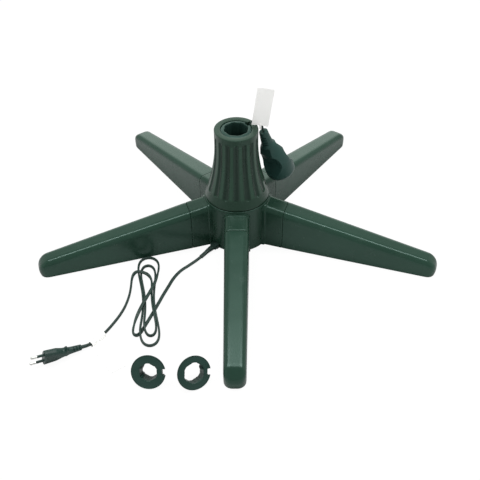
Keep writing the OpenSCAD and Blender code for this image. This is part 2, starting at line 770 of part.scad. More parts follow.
module pole_cup() {
    tube_r = cup_bore_r + cup_wall;
    color(dark_green) difference() {
        union() {
            translate([0, 0, cup_floor_z]) cylinder(r = spindle_r, h = cup_floor_t);
            translate([0, 0, cup_floor_z]) ring(spindle_r, spindle_r - spindle_wall,
                cup_flange_z + 1 - cup_floor_z);
            translate([0, 0, cup_floor_z]) cylinder(r = tube_r, h = cup_top_z - cup_floor_z);
            translate([0, 0, cup_flange_z]) cylinder(r = cup_flange_r, h = cup_flange_t);
            translate([0, 0, gear_top_z]) cylinder(r = 15, h = cup_floor_z - gear_top_z + 1);
            translate([0, 0, disc_bottom_z]) cylinder(r = 12, h = cup_floor_z - disc_bottom_z);
        }
        translate([0, 0, cup_floor_z + cup_floor_t]) cylinder(r = cup_bore_r, h = 200);
        difference() {
            translate([0, 0, disc_bottom_z - 1]) cylinder(r = 13, h = disc_t + 1);
            translate([0, 0, disc_bottom_z - 2]) cylinder(r = 7, h = disc_t + 4);
        }
        translate([0, 0, disc_bottom_z - 1]) cylinder(r = 1.8, h = 12);
        rotate([0, 0, slot_az]) translate([tube_r + 0.05, -4, cup_floor_z - 1])
            cube([spindle_r - spindle_wall - tube_r, 8, cup_flange_z + 10]);
        for (k = [0:3]) rotate([0, 0, 45 + 90 * k + slot_az])
            translate([cup_screw_r, 0, cup_flange_z - 1]) {
                cylinder(r = screw_hole_r, h = screw_len);
                cylinder(r = screw_seat_r, h = 2.6);
            }
    }
}

module cup_screws() {
    color("#8a8d90") for (k = [0:3]) rotate([0, 0, 45 + 90 * k + slot_az])
        translate([cup_screw_r, 0, cup_flange_z + 0.3])
            pan_screw(base_screw_head_r, 1.3, pilot_r, screw_len);
}

module drive_gear() {
    color("#e6e2d6") translate([0, 0, gear_bottom_z]) difference() {
        rotate([0, 0, front_az]) spur(gear_teeth, gear_w, 0.3);
        translate([0, 0, -1]) cylinder(r = 12, h = gear_w + 2);
        for (s = [-1, 1]) rotate([0, 0, slot_az + 8 * s]) translate([lead_hole_r, 0, -1])
            cylinder(r = 1.5, h = gear_w + 2, $fn = 32);
    }
}

module slip_ring_disc() {
    color("#e6e2d6") translate([0, 0, disc_bottom_z]) difference() {
        cylinder(r = 19, h = disc_t);
        translate([0, 0, -1]) cylinder(r = 7, h = disc_t + 2);
    }
}

module slip_rings() {
    color("#c9a94f") for (k = [0, 1]) translate([0, 0, ring_bottom_z])
        ring(slip_in_r + slip_w + k * slip_step, slip_in_r + k * slip_step, ring_t);
}

module spindle_screw() {
    color("#8a8d90") translate([0, 0, disc_bottom_z - 2.4]) {
        ring(8.4, 1.75, 0.6);
        pan_screw(4.5, 2.4, 1.75, 10);
    }
    color("#8a8d90") translate([0, 0, disc_bottom_z - 1]) ring(8.4, 1.75, 1);
}

module ring_leads() {
    end_z = cup_floor_z - 2 - 4 * lead_gap;
    color("#5a4632") for (s = [-1, 1])
        let (low = lead_hole_r * [cos(slot_az + 8 * s), sin(slot_az + 8 * s), 0],
            high = cord_run_r * [cos(slot_az + 3 * s), sin(slot_az + 3 * s), 0])
        wire([
            low + [0, 0, gear_bottom_z + lead_gap],
            low + [0, 0, (gear_bottom_z + gear_top_z) / 2],
            low + [0, 0, gear_top_z],
            low * 0.75 + high * 0.25 + [0, 0, gear_top_z + 1.2],
            high + [0, 0, end_z - 1.2],
            high + [0, 0, end_z]
        ], 0.8);
}

// ----------------------------------------------------------------- adapters

// Adapter with its flange's face at z = 0, its sleeve below and its notch at +X.
module adapter(bore_d, length) {
    end_r = bore_d / 2 + sleeve_wall;
    neck_r1 = max(end_r, min(collar_r - 1, bore_d / 2 + 4.2));
    grooves = bore_d > 30 ? 8 : 6;
    difference() {
        rotate_extrude() polygon([
            [bore_d / 2, 0], [flange_r - 0.6, 0], [flange_r, -0.6], [flange_r, -flange_t],
            [collar_r, -flange_t], [collar_r, -flange_t - collar_h],
            [neck_r1, -flange_t - collar_h - 1], [end_r, -length], [bore_d / 2, -length]
        ]);
        translate([notch_in_r, -notch_w / 2, -length - 1]) cube([20, notch_w, length + 2]);
        for (k = [0:grooves - 1]) rotate([0, 0, 30 + k * 360 / grooves])
            translate([bore_d / 2 - 1, -1.3, -length - 1]) cube([1.8, 2.6, length - 1]);
    }
}

module pole_adapter() {
    color(green) translate([0, 0, column_top_z]) rotate([0, 0, slot_az]) adapter(pole_d, fitted_len);
}

// An adapter that lies on the rim of its flange and the end of its sleeve.
module lying_adapter(bore_d, length, at, az, spin) {
    end_r = bore_d / 2 + sleeve_wall;
    tilt = atan((flange_r - end_r) / (length - flange_t));
    lift = flange_t * sin(tilt) + flange_r * cos(tilt);
    translate([at[0], at[1], lift + 0.02]) rotate([0, 90 - tilt, az]) rotate([0, 0, 90 + spin])
        adapter(bore_d, length);
}

module spare_adapter_large() {
    color(green) lying_adapter(spare_large_d, spare_large_len, spare_large_at, spare_large_az,
        spare_large_spin);
}

module spare_adapter_small() {
    color(green) lying_adapter(spare_small_d, spare_small_len, spare_small_at, spare_small_az,
        spare_small_spin);
}

// -------------------------------------------------------------------- drive

module motor_shaft() {
    color("#b9bcbe") translate([0, -mesh_r, motor_top_z - 7.5]) difference() {
        cylinder(r = shaft_r, h = gear_top_z + 1.5 - motor_top_z + 7.5);
        translate([shaft_r - 0.7, -5, gear_bottom_z - motor_top_z + 7.5]) cube([5, 10, 20]);
    }
}

module drive_pinion() {
    color("#e6e2d6") translate([0, -mesh_r, gear_bottom_z]) difference() {
        rotate([0, 0, -front_az + 180 / pinion_teeth]) spur(pinion_teeth, gear_w, 0.3);
        difference() {
            translate([0, 0, -1]) cylinder(r = shaft_r, h = gear_w + 2);
            translate([shaft_r - 0.7, -5, -2]) cube([5, 10, gear_w + 4]);
        }
    }
}

// --------------------------------------------------------------------- legs

rib_places = [0.32, 0.55, 0.76];

module leg(k) {
    color(green) rotate([0, 0, front_az + k * leg_step]) {
        difference() {
            leg_form(seam_r - 14, 0, floor_gap);
            leg_form(seam_r - 20, leg_wall, -3);
            translate([seam_r - 60, -50, -5]) cube([60, 100, 120]);
        }
        for (f = rib_places) {
            x = seam_r + (leg_reach - seam_r) * f;
            translate([x, -(leg_w(x) / 2 - leg_wall + 0.3), 3])
                cube([rib_t, leg_w(x) - 2 * leg_wall + 0.6, leg_h(x) - leg_round_r - 5]);
        }
        difference() {
            translate([pad_x, 0, pad_t]) cylinder(r = pad_r - 1, h = leg_h(pad_x) - leg_wall - pad_t);
            translate([pad_x, 0, 0]) cylinder(r = pad_stem_r, h = pad_t + 6);
        }
    }
}

module foot_pad(k) {
    color("#1b1b1b") rotate([0, 0, front_az + k * leg_step]) translate([pad_x, 0, 0]) {
        cylinder(r = pad_r, h = pad_t);
        cylinder(r = pad_stem_r, h = pad_t + 5);
    }
}

module leg_front() { leg(0); }
module leg_right() { leg(1); }
module leg_back_right() { leg(2); }
module leg_back_left() { leg(3); }
module leg_left() { leg(4); }
module pad_front() { foot_pad(0); }
module pad_right() { foot_pad(1); }
module pad_back_right() { foot_pad(2); }
module pad_back_left() { foot_pad(3); }
module pad_left() { foot_pad(4); }

// ------------------------------------------------------------------- outlet

module outlet_cord() {
    route = smooth_route(outlet_route, 3);
    rings = [for (i = [0:len(route) - 1])
        cord_ring(xyz(route[i]), end_or_route(route, i, [0, 0, 1], -outlet_dir),
            slot_side * (1 - route[i][3]) + hang_side * route[i][3], cord_w, cord_t, 8)];
    color(dark_green) tube_of(rings);
}

// The outlet's own frame: +Z from its face to its neck, +X square to its flats.
module at_outlet() {
    translate(outlet_foot) rotate([0, 0, outlet_az]) rotate([0, -outlet_lean, 0])
        rotate([0, 0, flat_az]) children();
}

module recess_outline(gap) {
    polygon([
        [-recess_w / 2 + gap, -recess_l / 2 + 5], [-recess_w / 2 + 4, -recess_l / 2 + gap],
        [recess_w / 2 - 4, -recess_l / 2 + gap], [recess_w / 2 - gap, -recess_l / 2 + 5],
        [recess_w / 2 - gap, recess_l / 2 - 5], [recess_w / 2 - 4, recess_l / 2 - gap],
        [-recess_w / 2 + 4, recess_l / 2 - gap], [-recess_w / 2 + gap, recess_l / 2 - 5]
    ]);
}

module outlet_body() {
    color(green) at_outlet() difference() {
        rotate_extrude() polygon([
            [0, 0], [outlet_r - 4, 0], [outlet_r - 1.2, 2.5], [outlet_r, 7],
            [outlet_r, 22], [outlet_r - 0.8, 31], [outlet_r - 2.6, 40],
            [outlet_r - 5.4, 49], [outlet_r - 9, 57], [outlet_r - 12.4, outlet_len - 6],
            [neck_r + 3, outlet_len - 3], [neck_r + 1.6, outlet_len],
            [neck_r, outlet_len + neck_len], [0, outlet_len + neck_len]
        ]);
        for (s = [0, 180]) rotate([0, 0, s]) {
            translate([0, outlet_r + 1, 0]) rotate([90, 0, 0])
                linear_extrude(2 * outlet_r + 2) polygon(scallop);
            translate([neck_r - 1.2, -neck_r, outlet_len + 4]) cube([6, 2 * neck_r, 3]);
            translate([neck_r - 1.2, -neck_r, outlet_len + 11]) cube([6, 2 * neck_r, 3]);
            translate([neck_r - 1.2, -neck_r, outlet_len + 18]) cube([6, 2 * neck_r, 3]);
        }
        translate([0, 0, -1]) linear_extrude(recess_depth + face_t + 1) recess_outline(0);
        for (s = [-1, 1]) translate([0, s * socket_pitch / 2, 1])
            cylinder(r = 3, h = recess_depth + face_t + 20, $fn = 32);
        translate([0, 0, outlet_len + neck_len - 8]) rotate([0, 0, -flat_az])
            linear_extrude(8 + eps) square([cord_t + 0.4, cord_w + 0.4], center = true);
    }
}

module outlet_face() {
    color(dark_green) at_outlet() translate([0, 0, recess_depth]) difference() {
        linear_extrude(face_t) recess_outline(0.05);
        for (s = [-1, 1]) translate([0, s * socket_pitch / 2, -1])
            cylinder(r = 2.5, h = face_t + 2, $fn = 32);
    }
}

module outlet_contacts() {
    color("#c9a94f") at_outlet() for (s = [-1, 1])
        translate([0, s * socket_pitch / 2, recess_depth + face_t + 0.5]) ring(2.95, 2.3, 17);
}

module outlet_tag() {
    depth = strap_at[1] + strap_in[0] / 2 - outlet_label_at[1];
    color("#f4f4f2") {
        translate(outlet_label_at) rotate([0, outlet_label_turn, 0])
            cube([outlet_label_w, label_t, outlet_label_l]);
        translate([strap_at[0] - strap_w / 2, outlet_label_at[1] + label_t / 2, 0]) {
            for (z = [-strap_in[1] / 2 - label_t, strap_in[1] / 2])
                translate([0, 0, strap_at[2] + z]) cube([strap_w, depth, label_t]);
            for (y = [0, depth - label_t / 2])
                translate([0, y, strap_at[2] - strap_in[1] / 2 - label_t])
                    cube([strap_w, label_t / 2, strap_in[1] + 2 * label_t]);
        }
    }
}

// --------------------------------------------------------------- mains cord

module mains_cord_lead() {
    route = smooth_route(lead_route, 2);
    color(dark_green) tube_of(floor_rings(route, 8, gland_dir, xyz(hank_route[1]) - xyz(hank_route[0])));
}

module mains_cord_hank() {
    rings = floor_rings(hank_route, 6, undef, undef);
    echo("hank least gap", least_gap(rings, 4), "rings", len(rings));
    color(dark_green) tube_of(rings);
}

module mains_cord_tail() {
    route = smooth_route(tail_route, 2);
    color(dark_green) tube_of(floor_rings(route, 8,
        xyz(hank_end) - xyz(hank_route[hank_steps - 1]), plug_dir));
}

// The plug's own frame: +X from the cord's end to the pins, its width along Z
// before the roll.
module at_plug() {
    translate(plug_back) rotate([0, -plug_pitch, plug_az]) rotate([plug_roll - 90, 0, 0]) children();
}
function oval_ring(st) = [
    for (k = [0:15]) let (a = 360 * (k + 0.5) / 16) [st[0], st[2] * cos(a), st[1] * sin(a)]
];

module plug_body() {
    face_x = relief_len + plug_len;
    color(dark_green) at_plug() {
        difference() {
            tube_of([for (st = concat(relief_stations, plug_stations)) oval_ring(st)]);
            for (x = [5, 10, 15, 20]) for (s = [-1, 1])
                translate([x, s * 5 - 1.5, -2]) cube([2, 3, 4]);
            for (s = [-1, 1]) translate([face_x - 11, 0, s * pin_pitch / 2]) rotate([0, 90, 0])
                cylinder(r = pin_r, h = 12, $fn = 32);
        }
        for (s = [-1, 1]) translate([face_x - 1, 0, s * pin_pitch / 2]) rotate([0, 90, 0])
            ring(pin_r, pin_r - 0.4, 11);
    }
}

module plug_pins() {
    root_x = relief_len + plug_len - 10.5;
    core = 20.5;
    tip = pin_len + 10.5 - core;
    color("#c9cccd") at_plug() for (s = [-1, 1])
        translate([root_x, 0, s * pin_pitch / 2]) rotate([0, 90, 0]) {
            cylinder(r = pin_r - 0.4, h = core, $fn = 32);
            translate([0, 0, core]) cylinder(r = pin_r, h = tip - 1, $fn = 32);
            translate([0, 0, core + tip - 1]) cylinder(r1 = pin_r, r2 = pin_r - 0.9, h = 1, $fn = 32);
        }
}

module cord_tag() {
    sleeve_w = 8.4;
    sleeve_h = 7.8;
    sleeve_l = mains_label_w;
    color("#f4f4f2") translate([mains_label_at[0], mains_label_at[1], 0]) difference() {
        union() {
            rotate([0, 0, mains_sleeve_az]) translate([-sleeve_w / 2, -sleeve_l / 2, 0])
                cube([sleeve_w, sleeve_l, sleeve_h]);
            rotate([0, 0, mains_label_az]) translate([0, -mains_label_w / 2, 0])
                cube([mains_label_l, mains_label_w, label_t]);
        }
        rotate([0, 0, mains_sleeve_az]) {
            translate([-sleeve_w / 2 + label_t, -sleeve_l, -1])
                cube([sleeve_w - 2 * label_t, 2 * sleeve_l, sleeve_h - label_t + 1]);
            translate([-sleeve_w, -2 * sleeve_l, -1]) cube([sleeve_w, 4 * sleeve_l, label_t + 1]);
        }
    }
}

hub_housing();
base_cover();
base_screws();
bearing_bush();
thrust_ring();
gear_motor();
motor_screws();
brush_block();
brush_contacts();
terminal_block();
internal_leads();
cord_gland();
trunk_column();
pole_cup();
cup_screws();
drive_gear();
slip_ring_disc();
slip_rings();
spindle_screw();
ring_leads();
pole_adapter();
motor_shaft();
drive_pinion();
leg_front();
leg_right();
leg_back_right();
leg_back_left();
leg_left();
pad_front();
pad_right();
pad_back_right();
pad_back_left();
pad_left();
spare_adapter_large();
spare_adapter_small();
outlet_cord();
outlet_body();
outlet_face();
outlet_contacts();
outlet_tag();
mains_cord_lead();
mains_cord_hank();
mains_cord_tail();
plug_body();
plug_pins();
cord_tag();
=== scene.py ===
"""Looks of a five-legged rotating tree stand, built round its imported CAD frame.

Lengths in this file are millimetres, as in the part's source, until a mesh is made: Piece.build
turns them into metres. The row frame is used throughout: +Z up, the front leg along -Y.
"""

import logging
import math
from dataclasses import dataclass, field
from enum import Enum
from typing import Any, Callable, Sequence

import bmesh
import bpy
import numpy as np
from mathutils import Matrix


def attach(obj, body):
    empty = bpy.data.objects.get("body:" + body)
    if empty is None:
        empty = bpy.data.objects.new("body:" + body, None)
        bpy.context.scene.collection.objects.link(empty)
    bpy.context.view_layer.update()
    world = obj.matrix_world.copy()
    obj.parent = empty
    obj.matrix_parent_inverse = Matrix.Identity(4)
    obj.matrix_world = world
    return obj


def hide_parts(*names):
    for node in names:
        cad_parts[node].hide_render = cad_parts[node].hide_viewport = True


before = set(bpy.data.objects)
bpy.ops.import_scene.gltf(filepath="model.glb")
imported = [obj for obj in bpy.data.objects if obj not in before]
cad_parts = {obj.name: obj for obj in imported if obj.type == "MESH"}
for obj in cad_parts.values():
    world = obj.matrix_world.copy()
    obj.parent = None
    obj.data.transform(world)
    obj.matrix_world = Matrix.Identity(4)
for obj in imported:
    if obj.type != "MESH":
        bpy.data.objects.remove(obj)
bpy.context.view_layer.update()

Array = np.ndarray
MM = 0.001
LOG = logging.getLogger("tree_stand")

# Places that several pieces share, in millimetres and degrees.
RIM_Z = 206.0
SLOT_AZ = 38.0
GLAND_AZ = -130.5
PLUG_BACK = (-216.6, -260.6, 5.0)
PLUG_ROLL = 70.0


# ---- numbers


def unit(v: Array) -> Array:
    """Vectors scaled to length one along the last axis."""
    v = np.asarray(v, float)
    return v / np.linalg.norm(v, axis=-1, keepdims=True)


def polar(r: float, deg: float, z: float = 0.0) -> Array:
    """Point at radius r and azimuth deg, at height z."""
    a = math.radians(deg)
    return np.array([r * math.cos(a), r * math.sin(a), z])


def smoothstep(t: Array) -> Array:
    """3t^2 - 2t^3, with t held between 0 and 1."""
    t = np.clip(t, 0.0, 1.0)
    return t * t * (3 - 2 * t)


def turn(deg: float, axis: str) -> Array:
    """3x3 matrix that turns by deg about the named axis."""
    return np.array(Matrix.Rotation(math.radians(deg), 3, axis))


def moved(points: Array, rotation: Array, at: Sequence[float] = (0, 0, 0)) -> Array:
    """Points turned by a 3x3 matrix and then shifted to a place."""
    return points @ np.asarray(rotation).T + np.asarray(at, float)


def smooth_route(points: Array, per_span: int) -> Array:
    """Points on the curve that passes through a route's points.

    Between b and c, with neighbours a and d, it is half of
    2b + (c - a)t + (2a - 5b + 4c - d)t^2 + (3b - a - 3c + d)t^3.

    Args:
        points: the route, one row a point; extra columns are carried along.
        per_span: how many points each span gets.

    Returns:
        The curve's points, the route's last point included.
    """
    b, c = points[:-1], points[1:]
    a = np.vstack([points[:1], points[:-2]])
    d = np.vstack([points[2:], points[-1:]])
    t = (np.arange(per_span) / per_span)[None, :, None]
    a, b, c, d = (k[:, None, :] for k in (a, b, c, d))
    curve = 0.5 * (
        2 * b + (c - a) * t + (2 * a - 5 * b + 4 * c - d) * t**2 + (3 * b - a - 3 * c + d) * t**3
    )
    return np.vstack([curve.reshape(-1, points.shape[1]), points[-1:]])


def path_length(path: Array) -> float:
    """Length of a line of points."""
    return float(np.linalg.norm(np.diff(path, axis=0), axis=1).sum())


def circle(count: int) -> Array:
    """Angles evenly round the whole circle, in radians, from 0."""
    return np.linspace(0, 2 * np.pi, count, endpoint=False)


def arc(centre: Sequence[float], r: float, start: float, end: float, count: int) -> Array:
    """Points (a, b) on an arc about centre, from start to end degrees."""
    a = np.radians(np.linspace(start, end, count))
    return np.stack([centre[0] + r * np.cos(a), centre[1] + r * np.sin(a)], -1)


def rounded(profile: Sequence[Sequence[float]], count: int = 4) -> Array:
    """A closed profile with its corners rounded.

    Each corner (x, y, r) becomes a curve of 2t(1-t)c + (1-t)^2 p + t^2 q between the points p
    and q that lie r from the corner c on its two sides; r of 0 leaves it sharp.

    Args:
        profile: the corners, each with its r.
        count: points on a rounded corner.

    Returns:
        The outline's points (x, y).
    """
    corners = np.asarray(profile, float)
    out = []
    for i, (x, y, r) in enumerate(corners):
        c = np.array([x, y])
        if r == 0:
            out.append(c[None])
            continue
        before = corners[i - 1, :2] - c
        after = corners[(i + 1) % len(corners), :2] - c
        p = c + unit(before) * min(r, np.linalg.norm(before) / 2)
        q = c + unit(after) * min(r, np.linalg.norm(after) / 2)
        t = np.linspace(0, 1, count)[:, None]
        out.append((1 - t) ** 2 * p + 2 * t * (1 - t) * c + t**2 * q)
    return np.vstack(out)


def filled_in(profile: Array, step: float, closed: bool = True) -> Array:
    """A profile with points added evenly along its sides.

    Args:
        profile: the outline's points.
        step: the most that neighbours may lie apart.
        closed: whether the last point is joined to the first.

    Returns:
        The old and new points, in order.
    """
    ends = np.roll(profile, -1, axis=0) if closed else profile[1:]
    out = []
    for p, q in zip(profile, ends):
        n = max(1, math.ceil(np.linalg.norm(q - p) / step))
        out.append(p + (q - p) * (np.arange(n) / n)[:, None])
    if not closed:
        out.append(profile[-1:])
    return np.vstack(out)


def revolved(profile: Array, angles: Array) -> Array:
    """A profile (r, z) turned about Z.

    Args:
        profile: points (r, z).
        angles: where it is drawn, in radians.

    Returns:
        The grid (angle, profile point).
    """
    r, z = profile[None, :, 0], profile[None, :, 1]
    a = angles[:, None]
    return np.stack([r * np.cos(a), r * np.sin(a), z + 0 * a], -1)


def swept(path: Array, wide: Array, section: Array) -> Array:
    """A section carried along a path.

    At each path point the tangent t comes from its neighbours, u is the wide side made square
    to t, and v is t x u; a section point (a, b) lands on the path point plus a*u + b*v.

    Args:
        path: centre line, one row a point.
        wide: direction of the section's first axis at each path point.
        section: (n, 2) outline, or (path points, n, 2) where it changes along the path.

    Returns:
        The grid (path point, section point).
    """
    t = unit(np.gradient(path, axis=0))
    u = unit(wide - t * np.sum(wide * t, axis=1, keepdims=True))
    v = np.cross(t, u)
    section = np.broadcast_to(section, (len(path), *np.shape(section)[-2:]))
    return path[:, None] + section[..., :1] * u[:, None] + section[..., 1:] * v[:, None]


# ---- meshes


@dataclass
class Piece:
    """One visible piece: surfaces are added to it in millimetres, then built into a mesh.

    Attributes:
        name: the object's name.
        body: the CAD body that it rides on.
        slot: the record's material slot; not used.
        stands_for: the CAD nodes that it replaces.
        sharp_deg: edges that turn by more than this are drawn sharp.
    """

    name: str
    body: str
    slot: str
    stands_for: tuple[str, ...] = ()
    sharp_deg: float = 34.0
    verts: list[Array] = field(default_factory=list)
    faces: list[list[int]] = field(default_factory=list)
    count: int = 0

    def _points(self, points: Array) -> int:
        """Adds points.

        Args:
            points: any array of them.

        Returns:
            The number of the first.
        """
        flat = np.asarray(points, float).reshape(-1, 3)
        self.verts.append(flat)
        first, self.count = self.count, self.count + len(flat)
        return first

    def grid(
        self, points: Array, close_u: bool = False, close_v: bool = False, caps: bool = False
    ) -> "Piece":
        """Adds a grid of quads.

        Args:
            points: (m, n, 3) grid.
            close_u: joins the last row to the first.
            close_v: joins the last column to the first.
            caps: closes the first and last row with a fan round its middle.

        Returns:
            The piece itself.
        """
        m, n = points.shape[:2]
        first = self._points(points)
        i = np.arange(m if close_u else m - 1)[:, None]
        j = np.arange(n if close_v else n - 1)[None, :]
        i2, j2 = (i + 1) % m, (j + 1) % n
        quads = np.stack([i * n + j, i2 * n + j, i2 * n + j2, i * n + j2], -1) + first
        self.faces += quads.reshape(-1, 4).tolist()
        if caps:
            for row, flip in ((0, False), (m - 1, True)):
                self._fan(points[row], first + row * n, flip)
        return self

    def _fan(self, ring: Array, first: int, flip: bool) -> None:
        """Closes a ring with triangles round its middle.

        Args:
            ring: its points.
            first: the number of the first of them.
            flip: turns the triangles over.
        """
        n = len(ring)
        centre = self._points(ring.mean(0))
        k = np.arange(n)
        a, b = k + first, (k + 1) % n + first
        if flip:
            a, b = b, a
        self.faces += np.stack([a, b, np.full(n, centre)], -1).tolist()

    def box(self, low: Sequence[float], high: Sequence[float], place: Callable) -> "Piece":
        """Adds a box between two corners, put in place by a function of points.

        Args:
            low, high: two opposite corners.
            place: puts an array of points in place.

        Returns:
            The piece itself.
        """
        ring = np.array([[0, 0], [1, 0], [1, 1], [0, 1]])
        low, high = np.asarray(low, float), np.asarray(high, float)
        rows = [np.column_stack([ring, np.full(4, z)]) * (high - low) + low for z in (0, 1)]
        return self.grid(place(np.array(rows)), close_v=True, caps=True)

    def build(self, finish: "Finish") -> bpy.types.Object:
        """Makes the mesh object, with its finish, its body and the nodes that it replaces.

        Args:
            finish: its material.

        Returns:
            The finished object.
        """
        mesh = bpy.data.meshes.new(self.name)
        mesh.from_pydata((np.vstack(self.verts) * MM).tolist(), [], self.faces)
        work = bmesh.new()
        work.from_mesh(mesh)
        bmesh.ops.remove_doubles(work, verts=work.verts, dist=2e-6)
        bmesh.ops.dissolve_degenerate(work, edges=work.edges, dist=1e-7)
        bmesh.ops.recalc_face_normals(work, faces=work.faces)
        work.to_mesh(mesh)
        work.free()
        obj = bpy.data.objects.new(self.name, mesh)
        bpy.context.scene.collection.objects.link(obj)
        shade(mesh, self.sharp_deg)
        mesh.materials.append(finish.material())
        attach(obj, self.body)
        if self.stands_for:
            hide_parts(*self.stands_for)
        LOG.info("%s: %d faces on %s", self.name, len(mesh.polygons), self.body)
        return obj


def shade(mesh: bpy.types.Mesh, sharp_deg: float) -> None:
    """Shades a mesh smooth, but for edges that turn by more than sharp_deg."""
    mesh.polygons.foreach_set("use_smooth", np.ones(len(mesh.polygons), bool))
    mesh.set_sharp_from_angle(angle=math.radians(sharp_deg))


def cut(obj: bpy.types.Object, cutter: Piece, sharp_deg: float = 34.0) -> None:
    """Takes the space of a closed piece out of an object's mesh.

    Args:
        obj: the object that loses material.
        cutter: its surfaces, in millimetres; it is used up and removed.
        sharp_deg: as in shade.
    """
    tool_mesh = bpy.data.meshes.new("cutter")
    tool_mesh.from_pydata((np.vstack(cutter.verts) * MM).tolist(), [], cutter.faces)
    work = bmesh.new()
    work.from_mesh(tool_mesh)
    bmesh.ops.recalc_face_normals(work, faces=work.faces)
    work.to_mesh(tool_mesh)
    work.free()
    tool = bpy.data.objects.new("cutter", tool_mesh)
    bpy.context.scene.collection.objects.link(tool)
    modifier = obj.modifiers.new("cut", "BOOLEAN")
    modifier.operation = "DIFFERENCE"
    modifier.solver = "MANIFOLD"
    modifier.object = tool
    bpy.context.view_layer.update()
    evaluated = obj.evaluated_get(bpy.context.evaluated_depsgraph_get())
    result = bpy.data.meshes.new_from_object(evaluated)
    obj.modifiers.remove(modifier)
    old, obj.data = obj.data, result
    bpy.data.meshes.remove(old)
    bpy.data.objects.remove(tool)
    shade(result, sharp_deg)


# ---- finishes


class Value:
    """A shader number: an expression on it adds the Math nodes that work it out."""

    def __init__(self, bench: "Bench", socket: bpy.types.NodeSocket) -> None:
        """Wraps a node's output socket."""
        self.bench = bench
        self.socket = socket

    def _math(self, operation: str, *terms: Any) -> "Value":
        """Adds one Math node on these terms."""
        inputs = dict(enumerate(terms))
        return self.bench.add("ShaderNodeMath", {"operation": operation}, inputs)

    def __add__(self, other: Any) -> "Value":
        """self + other."""
        return self._math("ADD", self, other)

    def __radd__(self, other: Any) -> "Value":
        """other + self."""
        return self._math("ADD", other, self)

    def __sub__(self, other: Any) -> "Value":
        """self - other."""
        return self._math("SUBTRACT", self, other)

    def __rsub__(self, other: Any) -> "Value":
        """other - self."""
        return self._math("SUBTRACT", other, self)

    def __mul__(self, other: Any) -> "Value":
        """self * other."""
        return self._math("MULTIPLY", self, other)

    def __rmul__(self, other: Any) -> "Value":
        """other * self."""
        return self._math("MULTIPLY", other, self)

    def __truediv__(self, other: Any) -> "Value":
        """self / other."""
        return self._math("DIVIDE", self, other)

    def turned(self, across: "Value") -> "Value":
        """Angle of the point (across, self) from the first axis, in radians."""
        return self._math("ARCTAN2", self, across)

    def cosine(self) -> "Value":
        """cos(self)."""
        return self._math("COSINE", self)

    def between(self, low: float, high: float) -> "Value":
        """0 at low, 1 at high and smooth between them."""
        settings = {"interpolation_type": "SMOOTHSTEP"}
        return self.bench.add("ShaderNodeMapRange", settings, {0: self, 1: low, 2: high})


class Bench:
    """The node tree of one material or of the world, and the one way to add nodes to it."""

    def __init__(self, tree: bpy.types.NodeTree) -> None:
        """Starts an empty tree."""
        tree.nodes.clear()
        self.tree = tree

    def add(self, kind: str, settings: dict[str, Any], inputs: dict[Any, Any], out: Any = 0) -> Value:
        """Adds a node.

        Args:
            kind: the node's type.
            settings: its properties; "stops" sets a colour ramp's (place, colour) pairs.
            inputs: socket name or number to a Value, which is linked, or to a plain value.
            out: the output that is returned.

        Returns:
            The output as a Value.
        """
        node = self.tree.nodes.new(kind)
        for key, value in settings.items():
            if key == "stops":
                ramp = node.color_ramp
                while len(ramp.elements) < len(value):
                    ramp.elements.new(1.0)
                for element, (place, colour) in zip(ramp.elements, value):
                    element.position = place
                    element.color = (*colour, 1.0)
            else:
                setattr(node, key, value)
        for key, value in inputs.items():
            if isinstance(value, Value):
                self.tree.links.new(value.socket, node.inputs[key])
            else:
                node.inputs[key].default_value = value
        return Value(self, node.outputs[out] if node.outputs else None)

    def place(self) -> Value:
        """The point on the object, in metres, in the frame of the object itself."""
        return self.add("ShaderNodeTexCoord", {}, {}, "Object")

    def ray(self, kind: str) -> Value:
        """1 for rays of a kind and 0 for others."""
        return self.add("ShaderNodeLightPath", {}, {}, f"Is {kind} Ray")

    def axes(self, vector: Value) -> list[Value]:
        """The three parts of a vector."""
        return [self.add("ShaderNodeSeparateXYZ", {}, {0: vector}, axis) for axis in "XYZ"]

    def stretched(self, scale: Sequence[float]) -> Value:
        """The object's point with each axis scaled."""
        return self.add(
            "ShaderNodeMapping", {"vector_type": "POINT"}, {"Vector": self.place(), "Scale": scale}
        )

    def noise(self, scale: float, detail: float = 3.0, where: Value | None = None) -> Value:
        """Cloudy noise of 0 to 1, scale lumps a metre."""
        inputs = {"Vector": where or self.place(), "Scale": scale, "Detail": detail}
        return self.add("ShaderNodeTexNoise", {}, inputs, 0)

    def mix(self, factor: Any, a: Any, b: Any) -> Value:
        """Colour a where factor is 0 and b where it is 1."""
        inputs = {"Factor": factor, 6: a, 7: b}
        return self.add("ShaderNodeMix", {"data_type": "RGBA"}, inputs, 2)

    def bump(self, height: Value, depth: float, under: Value | None = None) -> Value:
        """Normal of a surface raised by height times depth, in metres.

        Args:
            height: height over the surface, from 0 to 1.
            depth: what a height of 1 stands for, in metres.
            under: a normal to start from.

        Returns:
            The new normal.
        """
        inputs: dict[Any, Any] = {"Height": height, "Distance": depth, "Strength": 1.0}
        if under is not None:
            inputs["Normal"] = under
        return self.add("ShaderNodeBump", {}, inputs)

    def surface(self, inputs: dict[str, Any]) -> None:
        """Ends the tree with a Principled shader on the surface output."""
        shader = self.add("ShaderNodeBsdfPrincipled", {}, inputs)
        self.add("ShaderNodeOutputMaterial", {}, {"Surface": shader})


def rgba(colour: Sequence[float]) -> tuple[float, ...]:
    """A linear colour with full alpha."""
    return (*colour, 1.0)


def scaled(colour: Sequence[float], k: float) -> tuple[float, ...]:
    """A linear colour times k, with full alpha."""
    return rgba([min(1.0, c * k) for c in colour])


